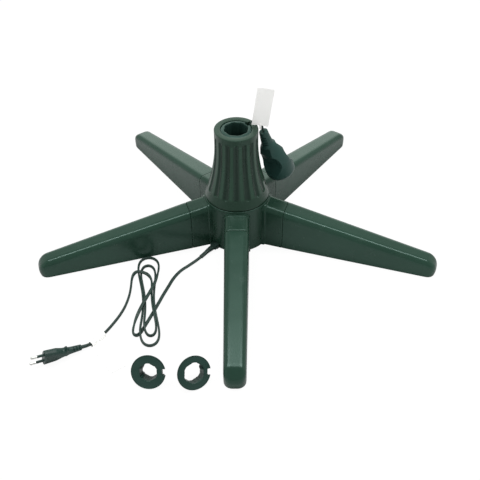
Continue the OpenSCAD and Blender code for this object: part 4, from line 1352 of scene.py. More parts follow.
@dataclass
class Labels:
    """Blank paper labels: one stands on the outlet's cord, one lies on the mains cord.

    Attributes:
        paper: thickness of the paper.
        outlet_bow: how far the standing label bows across and along its height.
        strap_in: clear width and height of the strap's loop round the cord.
        flag_lift: how far the lying label's end rises, and the height of its ripple.
    """

    paper: float = 0.3
    outlet_at: tuple[float, float, float] = (23.6, 8.0, 208.0)
    outlet_size: tuple[float, float] = (26.0, 63.9)
    outlet_turn: float = 8.0
    outlet_bow: tuple[float, float] = (1.1, 1.6)
    strap_at: tuple[float, float, float] = (37.4, 20.0, 204.2)
    strap_in: tuple[float, float] = (7.0, 10.6)
    strap_w: float = 3.0
    mains_at: tuple[float, float] = (-202.8, -246.3)
    flag_az: float = -54.0
    sleeve_az: float = -38.0
    flag_size: tuple[float, float] = (66.0, 26.0)
    flag_lift: tuple[float, float] = (1.3, 0.25)
    sleeve_w: float = 8.4
    sleeve_h: float = 7.8

    def leaf(self, middle: Array, normal: Array) -> Array:
        """Closed ring of grids for a thin leaf: the middle sheet moved half the paper each way."""
        half = normal * self.paper / 2
        return np.concatenate([middle + half, (middle - half)[:, ::-1]], axis=1)

    def outlet_label(self) -> bpy.types.Object:
        """Makes the standing label and its strap.

        At u across and v up the sheet it stands bow across * (1 - (2u - 1)^2) + bow along * v^2
        out of its plane.

        Returns:
            The finished object.
        """
        width, height = self.outlet_size
        bow_across, bow_along = self.outlet_bow
        u = np.linspace(0, 1, 24)[:, None]
        v = np.linspace(0, 1, 40)[None, :]
        bow = bow_across * (1 - (2 * u - 1) ** 2) + bow_along * v**2
        middle = np.stack([u * width + 0 * v, self.paper + bow, v * height + 0 * u], -1)
        across = np.gradient(middle, axis=0)
        along = np.gradient(middle, axis=1)
        sheet = self.leaf(middle, unit(np.cross(across, along)))
        place = turn(self.outlet_turn, "Y")
        piece = Piece("outlet_label", "column", "label_paper", ("outlet_tag",), sharp_deg=50)
        piece.grid(moved(sheet, place, self.outlet_at), close_v=True, caps=True)
        x, y, z = self.strap_at
        near = self.outlet_at[1] + 2 * self.paper
        far = y + self.strap_in[0] / 2
        half_h = self.strap_in[1] / 2
        loop = filled_in(rounded([
            [near, z - half_h, 2.2], [far, z - half_h, 2.6],
            [far, z + half_h, 2.6], [near, z + half_h, 2.2],
        ], 6), 1.5)
        outward = unit(np.roll(loop, 1, axis=0) - np.roll(loop, -1, axis=0))
        outward = np.stack([outward[:, 1], -outward[:, 0]], -1)
        band = []
        for thick, edge in ((0, -1), (0, 1), (self.paper, 1), (self.paper, -1)):
            rim = loop + outward * thick
            band.append(np.column_stack([
                np.full(len(rim), x + edge * self.strap_w / 2), rim[:, 0], rim[:, 1]
            ]))
        piece.grid(np.array(band), close_u=True, close_v=True)
        return piece.build(LABEL_PAPER)

    def mains_label(self) -> bpy.types.Object:
        """Makes the sleeve over the cord and the flag that lies beside it.

        The flag lies on the floor: at u along and v across it rises by
        lift * u^2 (0.6 + 0.8 |v|) + ripple * u sin^2(5v + 4u).

        Returns:
            The finished object.
        """
        length, width = self.flag_size
        rise, ripple = self.flag_lift
        u = np.linspace(0, 1, 34)[:, None]
        v = np.linspace(-0.5, 0.5, 18)[None, :]
        lift = rise * u**2 * (0.6 + 0.8 * np.abs(v)) + ripple * np.sin(5 * v + 4 * u) ** 2 * u
        lift = lift + self.paper + 0.02
        middle = np.stack([u * length + 0 * v, v * width + 0 * u, lift], -1)
        normal = unit(np.cross(np.gradient(middle, axis=0), np.gradient(middle, axis=1)))
        at = (*self.mains_at, 0.0)
        piece = Piece("cord_label", "stand", "label_paper", ("cord_tag",), sharp_deg=50)
        flag = moved(self.leaf(middle, normal), turn(self.flag_az, "Z"), at)
        piece.grid(flag, close_v=True, caps=True)
        half = self.sleeve_w / 2
        wall = np.linspace(0.1, self.sleeve_h - half, 6)
        arch = np.vstack([
            np.column_stack([np.full(6, -half), wall]),
            arc((0, self.sleeve_h - half), half, 180, 0, 24)[1:-1],
            np.column_stack([np.full(6, half), wall[::-1]]),
        ])
        inner = arch * [(half - self.paper) / half, (self.sleeve_h - self.paper) / self.sleeve_h]
        ring = np.vstack([arch, inner[::-1]])
        y = np.linspace(-width / 2, width / 2, 12)[:, None]
        tunnel = np.stack(np.broadcast_arrays(ring[:, 0], y, ring[:, 1]), -1)
        n = len(arch)
        tunnel = moved(tunnel, turn(self.sleeve_az, "Z"), at)
        piece.grid(tunnel, close_v=True)
        for row in (tunnel[0], tunnel[-1]):
            piece.grid(np.stack([row[:n], row[n:][::-1]]))
        return piece.build(LABEL_PAPER)


# ---- hub and legs


@dataclass
class LegForm:
    """Sizes that the legs share with the hub's stubs; x runs outwards from the axis.

    Attributes:
        reach: from the axis to the tip's face where it bulges most.
        round_r, foot_r: radius of the shoulders, and of the tip's corners on the floor.
        tip_lean: how far the tip's top lies behind its bulge.
        seam_r: where a leg meets its stub.
    """

    reach: float = 334.9
    root_w: float = 39.2
    tip_w: float = 31.8
    root_h: float = 72.8
    tip_h: float = 27.1
    round_r: float = 9.4
    foot_r: float = 12.4
    tip_lean: float = 8.4
    wall: float = 2.4
    seam_r: float = 84.0
    floor_gap: float = 0.6
    names: tuple[str, ...] = ("front", "right", "back_right", "back_left", "left")
    front_az: float = -90.0
    step: float = 72.0

    def width(self, x: Array) -> Array:
        """Width at x, falling evenly from root to tip."""
        share = (x - self.seam_r) / (self.reach - self.seam_r)
        return self.root_w + (self.tip_w - self.root_w) * share

    def height(self, x: Array) -> Array:
        """Height of the back at x, falling evenly from root to tip."""
        slope = (self.root_h - self.tip_h) / (self.reach - self.seam_r)
        return self.root_h - slope * (x - self.seam_r)

    def azimuth(self, k: int) -> float:
        """Azimuth of leg number k, degrees."""
        return self.front_az + k * self.step


@dataclass
class Legs:
    """Five hollow legs with rounded shoulders, ribs below and a boss for the foot pad.

    Attributes:
        rib_places: shares of the way from seam to tip at which ribs stand.
        rib_z, rib_drop, rib_in: the ribs' lower edge, their gap to the back's round, and how
            far their ends run into the walls.
        seam_ease: radius of the seam's edge.
        bulge_z, foot_in: height of the tip's bulge, and how far its foot lies behind it.
    """

    form: LegForm = field(default_factory=LegForm)
    side_points: int = 44
    corner_points: int = 12
    wall_points: int = 13
    rib_places: tuple[float, ...] = (0.32, 0.55, 0.76)
    rib_t: float = 1.6
    rib_z: float = 3.0
    rib_drop: float = 2.0
    rib_in: float = 0.3
    pad_inset: float = 18.0
    pad_boss_r: float = 6.0
    pad_hole_r: float = 3.15
    pad_t: float = 3.0
    seam_ease: float = 1.1
    bulge_z: float = 11.0
    foot_in: float = 1.6

    def stations(self) -> Array:
        """Shares of a side from root to tip, close together at the eased edge of the seam."""
        long = 1 - (1 - np.linspace(0, 1, self.side_points)) ** 1.3
        return np.concatenate([[0.0, 0.001, 0.003], long[1:]])

    def skin(self, inset: float) -> tuple[Array, Array]:
        """Grids of the leg's skin, inset on every side: the round of walls, and the flat back.

        The round runs in plan along one side, round the tip and back along the other side. The
        shoulder is d = r - (r - inset) cos F, z = h - r + (r - inset) sin F, where d is the
        distance in from the outline and h the back's height at that x.

        Args:
            inset: how far it lies inside the outer skin.

        Returns:
            The grid of the walls and the grid of the back.
        """
        f = self.form
        r = f.round_r
        up = np.radians(np.linspace(0, 90, self.wall_points))
        walls = np.linspace(0, 1, self.wall_points)[:-1]
        d = np.concatenate([np.full(len(walls), inset), r - (r - inset) * np.cos(up)])
        rise = np.concatenate([np.zeros(len(walls)), (r - inset) * np.sin(up)])
        climb = np.concatenate([walls, np.ones(len(up))])
        corner = np.radians(np.linspace(0, 90, self.corner_points))
        along = self.stations()
        rows = []
        for dist, share, over in zip(d, climb, rise):
            height = f.floor_gap + (f.tip_h - r - f.floor_gap) * share + over
            full = f.foot_r + (r - f.foot_r) * self.above_bulge(height)
            reach = f.reach - self.tip_back(height)
            centre, tip_r = max(full, dist), max(full - dist, 0.0)
            cx, cy = reach - centre, f.tip_w / 2 - centre
            x = f.seam_r + (cx - f.seam_r) * along
            side = np.stack([x, f.width(x) / 2 - dist], -1)
            side[-1] = [cx, cy + tip_r]
            bend = np.stack([cx + tip_r * np.sin(corner), cy + tip_r * np.cos(corner)], -1)
            end = np.stack([np.full(9, cx + tip_r), np.linspace(cy, -cy, 9)], -1)
            half = np.vstack([side, bend[1:], end[1:5]])
            rows.append(np.vstack([half * [1, -1], half[::-1][1:]]))
        plan = np.array(rows)
        shoulder = f.height(plan[..., 0]) - r
        z = f.floor_gap + (shoulder - f.floor_gap) * climb[:, None] + rise[:, None]
        walls_grid = np.concatenate([plan, z[..., None]], -1)
        top = walls_grid[-1]
        n = len(along)
        mirrored = top[::-1][:n]
        share = np.linspace(0, 1, 9)[None, :, None]
        back = top[:n, None] * (1 - share) + mirrored[:, None] * share
        if inset > 0:
            return walls_grid, back
        return self.drawn_in(walls_grid), self.drawn_in(back)

    def tip_back(self, z: float) -> float:
        """foot_in * (1 - z / bulge)^2 below the tip's bulge, lean * (rise above it)^1.8 over it."""
        below = min(max(1 - z / self.bulge_z, 0.0), 1.0)
        return self.foot_in * below**2 + self.form.tip_lean * self.above_bulge(z) ** 1.8

    def above_bulge(self, z: float) -> float:
        """Share of the way from the tip's bulge to its top at height z, from 0 to 1."""
        return min(max((z - self.bulge_z) / (self.form.tip_h - self.bulge_z), 0.0), 1.0)

    def drawn_in(self, points: Array) -> Array:
        """Points with the edge of the seam drawn in by e (1 - (x - seam) / e)^2.

        Args:
            points: points of the skin.

        Returns:
            The new points.
        """
        f = self.form
        gap = np.clip((points[..., 0] - f.seam_r) / self.seam_ease, 0, 1)
        draw = self.seam_ease * (1 - gap) ** 2
        out = points.copy()
        out[..., 1] *= 1 - draw / (f.root_w / 2)
        out[..., 2] *= 1 - draw / f.root_h
        return out

    def rib(self, x: float) -> Array:
        """Grid (2, n) of a cross rib: its outline at x and at x plus its thickness.

        Args:
            x: where the rib starts.

        Returns:
            The grid.
        """
        f = self.form
        half = f.width(x) / 2 - f.wall + self.rib_in
        low, top = self.rib_z, f.height(x) - f.round_r - self.rib_drop
        outline = filled_in(np.array([[-half, low], [half, low], [half, top], [-half, top]]), 6.0)
        return np.array([
            np.column_stack([np.full(len(outline), at), outline]) for at in (x, x + self.rib_t)
        ])

    def build(self) -> None:
        """Makes the five legs, each in place of its CAD node."""
        f = self.form
        outer, outer_back = self.skin(0.0)
        inner, inner_back = self.skin(f.wall)
        pad_x = f.reach - self.pad_inset
        ceiling = float(f.height(np.array(pad_x))) - f.wall + 0.2
        boss = rounded([
            [self.pad_hole_r, self.pad_t, 0], [self.pad_boss_r, self.pad_t, 0.5],
            [self.pad_boss_r, ceiling, 0], [self.pad_hole_r, ceiling, 0],
        ])
        ring = revolved(boss, circle(40)) + [pad_x, 0, 0]
        for k, name in enumerate(f.names):
            spin = turn(f.azimuth(k), "Z")
            piece = Piece(f"leg_shell_{name}", f"leg_{name}", "leg_plastic", (f"leg_{name}",))
            for skin in (outer, outer_back, inner, inner_back):
                piece.grid(moved(skin, spin))
            piece.grid(moved(np.stack([outer[0], inner[0]]), spin))
            for end in (0, -1):
                piece.grid(moved(np.stack([outer[:, end], inner[:, end]]), spin))
            piece.grid(moved(np.stack([outer_back[0], inner_back[0]]), spin))
            for share in self.rib_places:
                at = f.seam_r + (f.reach - f.seam_r) * share
                piece.grid(moved(self.rib(at), spin), close_v=True, caps=True)
            piece.grid(moved(ring, spin), close_u=True, close_v=True)
            piece.build(LEG_PLASTIC)


@dataclass
class Hub:
    """Round housing with five stubs that flow into it, and the tenons for the legs.

    Attributes:
        bush_r, bush_t, bush_bottom: hole, wall and lower end of the boss for the bearing bush.
        thrust: inner and outer radius of the groove for the thrust ring.
        sunk: how far a stub's root runs inside the housing's wall.
        tenon_z, tenon_gap, tenon_round: lower edge, play and shoulders' radius of the tenons.
        post_at: how far from the axis the screw posts stand, between the stubs.
    """

    form: LegForm = field(default_factory=LegForm)
    r: float = 53.5
    wall: float = 2.5
    top_z: float = 83.5
    deck_t: float = 3.0
    bush_r: float = 31.0
    bush_t: float = 3.0
    bush_bottom: float = 66.0
    thrust: tuple[float, float] = (34.9, 44.1)
    groove: float = 1.0
    blend_r: float = 2.0
    sunk: float = 6.0
    tenon_len: float = 26.0
    tenon_z: float = 4.0
    tenon_gap: float = 0.3
    tenon_round: float = 6.8
    post_r: float = 4.5
    post_at: float = 46.0
    cover_t: float = 2.5
    edge_r: float = 1.6

    def stub_ring(self, x: float, inset: float, lift: float, deep: float, r: float) -> Array:
        """Outline of a stub's section, from one bottom edge over the back to the other.

        Args:
            x: distance from the axis.
            inset: how far the walls and back lie inside the leg's outline at the root.
            lift: height of the bottom edge.
            deep: how far the outline is pushed out, for the blend into the hub.
            r: radius of the shoulders.

        Returns:
            The outline's points (x, y, z).
        """
        f = self.form
        half = f.root_w / 2 - inset + deep
        top = float(f.height(np.array(x))) - inset + deep
        r = max(r + deep, 0.5)
        right = np.vstack([
            np.column_stack([np.full(8, half), np.linspace(lift, top - r, 9)[:-1]]),
            arc((half - r, top - r), r, 0, 90, 13),
            np.column_stack([np.linspace(half - r, 0, 6)[1:], np.full(5, top)]),
        ])
        line = np.vstack([right, (right * [-1, 1])[::-1][1:]])
        return np.column_stack([np.full(len(line), x), line])

    def stub(self) -> Array:
        """Closed rings of a stub with its tenon, each of an outer and an inner outline.

        Near the hub the outline is pushed out by b - sqrt(b^2 - (b - g)^2), where b is the
        blend's radius and g the gap to the hub's wall.

        Returns:
            The rings.
        """
        f = self.form
        b = self.blend_r
        r_in, r_tenon = f.round_r - self.wall, self.tenon_round
        tenon_in = (f.root_w - f.width(f.seam_r + self.tenon_len)) / 2 + f.wall + self.tenon_gap
        near = self.r + b * (1 - np.cos(np.linspace(0, np.pi / 2, 9)))
        rows = []
        for x in (self.r - self.sunk, *near, *np.linspace(self.r + b + 2, f.seam_r - 3, 8)):
            gap = min(max(x - self.r, 0.0), b)
            deep = b - math.sqrt(b * b - (b - gap) ** 2)
            outer = self.stub_ring(x, 0, f.floor_gap, deep, f.round_r)
            inner = self.stub_ring(x, self.wall, f.floor_gap, 0, r_in)
            rows.append(np.vstack([outer, inner[::-1]]))
        end = f.seam_r
        for x, ease in ((end - 1.1, 0.0), (end - 0.35, 0.3), (end - 0.1, 1.0)):
            outer = self.stub_ring(x, ease, f.floor_gap, 0, f.round_r - ease)
            inner = self.stub_ring(x - self.wall, self.wall, f.floor_gap, 0, r_in)
            rows.append(np.vstack([outer, inner[::-1]]))
        tip = end + self.tenon_len
        tenon = ((end + 0.02, 0.0), (end + 8, 0.0), (tip - 1.2, 0.0), (tip - 0.3, 0.3), (tip, 0.9))
        for x, ease in tenon:
            outer = self.stub_ring(x, tenon_in + ease, self.tenon_z, 0, r_tenon)
            inner = self.stub_ring(x, tenon_in + self.wall, self.tenon_z, 0, r_tenon - self.wall)
            rows.append(np.vstack([outer, inner[::-1]]))
        return np.array(rows)

    def shell_profile(self) -> Array:
        """Closed profile (r, z) of the round housing with its deck, groove and bush boss.

        Returns:
            The profile's points.
        """
        inside, deck = self.r - self.wall, self.top_z - self.deck_t
        boss_r = self.bush_r + self.bush_t
        low, high = self.thrust
        return filled_in(rounded([
            [self.r, self.form.floor_gap, 0.4], [self.r, self.top_z, self.edge_r],
            [high, self.top_z, 0.2], [high, self.top_z - self.groove, 0],
            [low, self.top_z - self.groove, 0], [low, self.top_z, 0.2],
            [self.bush_r, self.top_z, 0.3], [self.bush_r, self.bush_bottom, 0.2],
            [boss_r, self.bush_bottom, 0.2], [boss_r, deck, 1.0],
            [inside, deck, 1.0], [inside, self.form.floor_gap, 0.2],
        ], 5), 4.0)

    def build(self) -> None:
        """Makes the hub in place of its CAD node."""
        f = self.form
        piece = Piece("hub_shell", "stand", "hub_plastic", ("hub_housing",))
        angles = circle(240)
        piece.grid(revolved(self.shell_profile(), angles), close_u=True, close_v=True)
        rings = self.stub()
        n = rings.shape[1] // 2
        for k in range(len(f.names)):
            spin = turn(f.azimuth(k), "Z")
            piece.grid(moved(rings, spin), close_v=True)
            for row in (rings[0], rings[-1]):
                piece.grid(moved(np.stack([row[:n], row[n:][::-1]]), spin))
        low, high = self.cover_t, self.top_z - self.deck_t
        post = np.array([[0.0, low], [self.post_r, low], [self.post_r, high], [0.0, high]])
        for k in range(len(f.names) - 1):
            at = polar(self.post_at, f.azimuth(k) + f.step / 2)
            ring = revolved(post, circle(28)) + at
            piece.grid(ring, close_u=True)
        piece.build(HUB_PLASTIC)


# ---- column


@dataclass
class Column:
    """Fluted column that flares into its skirt, with a slotted mouth for the adapter.

    Attributes:
        flare_top, flare_power: where the flare starts, and how sharply it opens downwards.
        foot_round, head_round: length of a flute's round ends, in half widths.
        seat_r, seat_depth: seat of the adapter's flange in the rim.
        ledge_r, ledge_z: bore and height of the recess in the skirt's underside.
    """

    top_z: float = RIM_Z
    top_r: float = 34.3
    skirt_r: float = 52.2
    skirt_z: float = 85.0
    flare_top: float = 185.0
    flare_power: float = 2.05
    flutes: int = 16
    flute_depth: float = 2.0
    flute_deg: float = 12.5
    flute_span: tuple[float, float] = (99.0, 197.0)
    foot_round: float = 0.5
    head_round: float = 0.6
    wall: float = 5.3
    bore_top: float = 185.0
    mouth_h: float = 18.0
    mouth_r: float = 22.6
    seat_r: float = 24.8
    seat_depth: float = 3.0
    slot_w: float = 8.0
    ledge_r: float = 46.8
    ledge_z: float = 89.5
    boss_r: float = 4.0
    boss_z: tuple[float, float] = (89.6, 104.5)
    boss_at: float = 38.0

    def radius(self, z: Array) -> Array:
        """top_r + (skirt_r - top_r) (drop below the flare's top / the whole drop)^power."""
        drop = np.maximum(0.0, self.flare_top - z) / (self.flare_top - self.skirt_z - 1.5)
        return self.top_r + (self.skirt_r - self.top_r) * drop**self.flare_power

    def angles(self) -> Array:
        """Angles round the column, in radians, close together at the flutes' edges.

        Returns:
            The angles.
        """
        half = self.flute_deg / 2
        side = np.concatenate([np.linspace(0, 1, 11), [1.04]]) * half
        step = 360 / self.flutes
        one = np.concatenate([-side[:0:-1], side, [step / 2]])
        turns = np.arange(self.flutes)[:, None] * step - 90
        return np.radians((turns + one[None]).ravel())

    def flute(self, angle: Array, z: Array) -> Array:
        """Depth of the flutes at an angle and height.

        It is depth * (1 - q^2), with q the distance from the flute's middle line in half
        widths; past the flute's end q grows as for a round end.

        Args:
            angle: round the column, in radians.
            z: height.

        Returns:
            The depth.
        """
        step = 2 * np.pi / self.flutes
        start = math.radians(-90)
        off = (angle - start + step / 2) % step - step / 2
        half = math.radians(self.flute_deg / 2)
        side = np.abs(off) / half
        half_mm = half * self.radius(z)
        low, high = self.flute_span
        foot, head = half_mm * self.foot_round, half_mm * self.head_round
        below = np.maximum(0, low + foot - z) / foot
        above = np.maximum(0, z - (high - head)) / head
        q = np.sqrt(side**2 + below**2 + above**2)
        return self.flute_depth * np.maximum(0.0, 1 - q * q)

    def build(self) -> None:
        """Makes the column in place of its CAD node and cuts its slot."""
        low, high = self.flute_span
        outer_z = np.concatenate([
            np.linspace(self.skirt_z + 1.6, low - 1, 12)[:-1],
            np.linspace(low - 1, low + 6, 22)[:-1],
            np.linspace(low + 6, high - 6, 64)[:-1],
            np.linspace(high - 6, high + 1, 22)[:-1],
            np.linspace(high + 1, self.top_z - 1.8, 8),
        ])
        outer = np.column_stack([self.radius(outer_z), outer_z])
        rim = rounded([
            [self.top_r, self.top_z - 1.7, 0], [self.top_r, self.top_z, 1.4],
            [self.seat_r, self.top_z, 0.8], [self.seat_r, self.top_z - self.seat_depth, 0.2],
            [self.mouth_r, self.top_z - self.seat_depth, 0.4],
            [self.mouth_r, self.top_z - self.mouth_h, 0.5],
            [self.top_r - self.wall, self.bore_top, 0],
        ], 5)
        inner_z = np.linspace(self.bore_top - 1, self.ledge_z, 26)
        inner = np.column_stack([self.radius(inner_z) - self.wall, inner_z])
        skirt = rounded([
            [self.ledge_r, self.ledge_z, 0], [self.ledge_r, self.skirt_z, 0.3],
            [self.skirt_r, self.skirt_z, 0.7], [self.skirt_r, self.skirt_z + 1.5, 0],
        ], 4)[:-1]
        profile = np.vstack([outer, rim[:-1], inner, skirt])
        angles = self.angles()
        points = revolved(profile, angles)
        depth = self.flute(angles[:, None], outer_z[None])
        shrink = 1 - depth / self.radius(outer_z)[None]
        points[:, : len(outer_z), :2] *= shrink[..., None]
        piece = Piece("column_shell", "column", "column_plastic", ("trunk_column",), sharp_deg=24)
        piece.grid(points, close_u=True, close_v=True)
        low, high = self.boss_z
        boss = np.array([[0, low], [self.boss_r, low], [self.boss_r, high], [0, high]])
        for k in range(4):
            at = polar(self.boss_at, 45 + 90 * k + SLOT_AZ)
            ring = revolved(boss, circle(28)) + at
            piece.grid(ring, close_u=True)
        column = piece.build(COLUMN_PLASTIC)
        cutter = Piece("slot", "column", "column_plastic")
        cutter.box(
            (self.mouth_r - 3, -self.slot_w / 2, self.top_z - self.mouth_h - 4),
            (self.mouth_r + 17, self.slot_w / 2, self.top_z + 2),
            lambda p: moved(p, turn(SLOT_AZ, "Z")),
        )
        cut(column, cutter, 24)


@dataclass
class Adapter:
    """Pole adapter: flange, collar and sleeve, with a ribbed bore and a notch for the cord.

    Its own frame has the flange's face at z = 0, the sleeve below and the notch at +X.

    Attributes:
        node: the CAD node that it replaces.
        ribs, rib_depth: how many lobes the bore has, and how deep.
        tabs: azimuths of the springy ribs in the bore, degrees.
        rotation, at: its place in the row frame.
    """

    name: str
    node: str
    body: str
    bore_r: float
    length: float
    ribs: int
    rib_depth: float
    tabs: tuple[float, ...]
    rotation: Array
    at: Array
    flange_r: float = 24.3
    flange_t: float = 3.0
    collar_r: float = 22.3
    collar_h: float = 4.0
    sleeve_wall: float = 2.2
    notch_in: float = 19.3
    notch_w: float = 9.0

    def bore_pattern(self, angle: Array) -> Array:
        """rib_depth * S((cos(ribs * angle + pi) + 0.55) / 0.9), with S the smooth step."""
        wave = np.cos(angle * self.ribs + math.pi)
        return self.rib_depth * smoothstep((wave + 0.55) / 0.9)

    def build(self) -> bpy.types.Object:
        """Makes the adapter in place of its CAD node, and cuts its notch.

        Returns:
            The finished object.
        """
        r, fr, end_r = self.bore_r, self.flange_r, self.bore_r + self.sleeve_wall
        neck = max(end_r, min(self.collar_r - 1, r + 4.2))
        deep = self.flange_t + self.collar_h
        outline = rounded([
            [fr, 0, 1.5], [fr, -self.flange_t, 0.5], [self.collar_r, -self.flange_t, 0.2],
            [self.collar_r, -deep, 0.5], [neck, -deep - 1, 0.5], [end_r, -self.length, 0.5],
        ], 5)
        bore = np.column_stack([np.full(14, r), np.linspace(-self.length, -0.9, 14)])
        lip = np.array([[r + 0.12, -0.45], [r + 0.45, -0.12], [r + 1.0, 0.0], [r + 3.0, 0.0]])
        profile = np.vstack([outline, bore, lip])
        angles = circle(288)
        points = revolved(profile, angles)
        first = len(outline)
        fade = np.concatenate([np.ones(len(bore)), (1.0, 0.9, 0.5, 0.0)])
        push = self.bore_pattern(angles)[:, None] * fade[None]
        radius = profile[first:, 0][None]
        points[:, first:, :2] *= ((radius + push) / radius)[..., None]
        piece = Piece(self.name, self.body, "adapter_plastic", (self.node,))
        piece.grid(moved(points, self.rotation, self.at), close_u=True, close_v=True)
        for deg in self.tabs:
            piece.grid(moved(self.tab(deg), self.rotation, self.at), close_v=True, caps=True)
        adapter = piece.build(ADAPTER_PLASTIC)
        cutter = Piece("notch", self.body, "adapter_plastic")
        cutter.box(
            (self.notch_in, -self.notch_w / 2, -self.length - 1),
            (self.notch_in + 20, self.notch_w / 2, 1.0),
            lambda p: moved(p, self.rotation, self.at),
        )
        cut(adapter, cutter)
        return adapter

    def tab(self, deg: float) -> Array:
        """Springy rib inside the bore at an azimuth: rings of a rounded bar that bows inwards.

        At height share t the face of its section stands (0.4 + 2.4 sin(pi t)) times as far in.

        Args:
            deg: the azimuth.

        Returns:
            The rings.
        """
        t = np.linspace(0, 1, 15)
        proud = 0.4 + 2.4 * np.sin(np.pi * t)
        z = -1.5 - (self.length - 2.2) * t
        corners = np.array([
            [0.6, -1.5], [0.6, 1.5], [-0.35, 1.5], [-1, 1.0], [-1, -1.0], [-0.35, -1.5]
        ])
        rows = []
        for p, height in zip(proud, z):
            x = np.where(corners[:, 0] > 0, self.bore_r + 0.6, self.bore_r + corners[:, 0] * p)
            rows.append(np.column_stack([x, corners[:, 1], np.full(6, height)]))
        return moved(np.array(rows), turn(deg, "Z"))


def lying_pose(bore_r: float, length: float, at: Sequence[float], az: float, spin: float) -> tuple:
    """Rotation and place of an adapter that lies on its flange's rim and its sleeve's end.

    Args:
        bore_r, length: as in Adapter.
        at: its flange's middle on the floor.
        az: where its flange faces, degrees.
        spin: its turn about its own axis, degrees.

    Returns:
        The rotation matrix and the place.
    """
    flange_r, flange_t = Adapter.flange_r, Adapter.flange_t
    tilt = math.atan((flange_r - bore_r - Adapter.sleeve_wall) / (length - flange_t))
    lift = flange_t * math.sin(tilt) + flange_r * math.cos(tilt) + 0.02
    rotation = turn(az, "Z") @ turn(90 - math.degrees(tilt), "Y") @ turn(90 + spin, "Z")
    return rotation, np.array([at[0], at[1], lift])


def build_adapters() -> None:
    """Makes the fitted adapter and the two spare ones."""
    Adapter(
        name="fitted_ring", node="pole_adapter", body="fitted_adapter", bore_r=18.0, length=24.0,
        ribs=8, rib_depth=0.9, tabs=(), rotation=turn(SLOT_AZ, "Z"), at=polar(0.0, 0.0, RIM_Z),
    ).build()
    for size, bore_r, length, at, az, spin, tabs in (
        ("large", 14.0, 16.5, (-55, -324), -61, -18, (20.0,)),
        ("small", 12.0, 20.0, (-119, -323), -96, 5, (150.0, 215.0)),
    ):
        rotation, place = lying_pose(bore_r, length, at, az, spin)
        Adapter(
            f"spare_ring_{size}", f"spare_adapter_{size}", f"spare_{size}", bore_r, length,
            ribs=6, rib_depth=0.8, tabs=tabs, rotation=rotation, at=place,
        ).build()


# ---- outlet


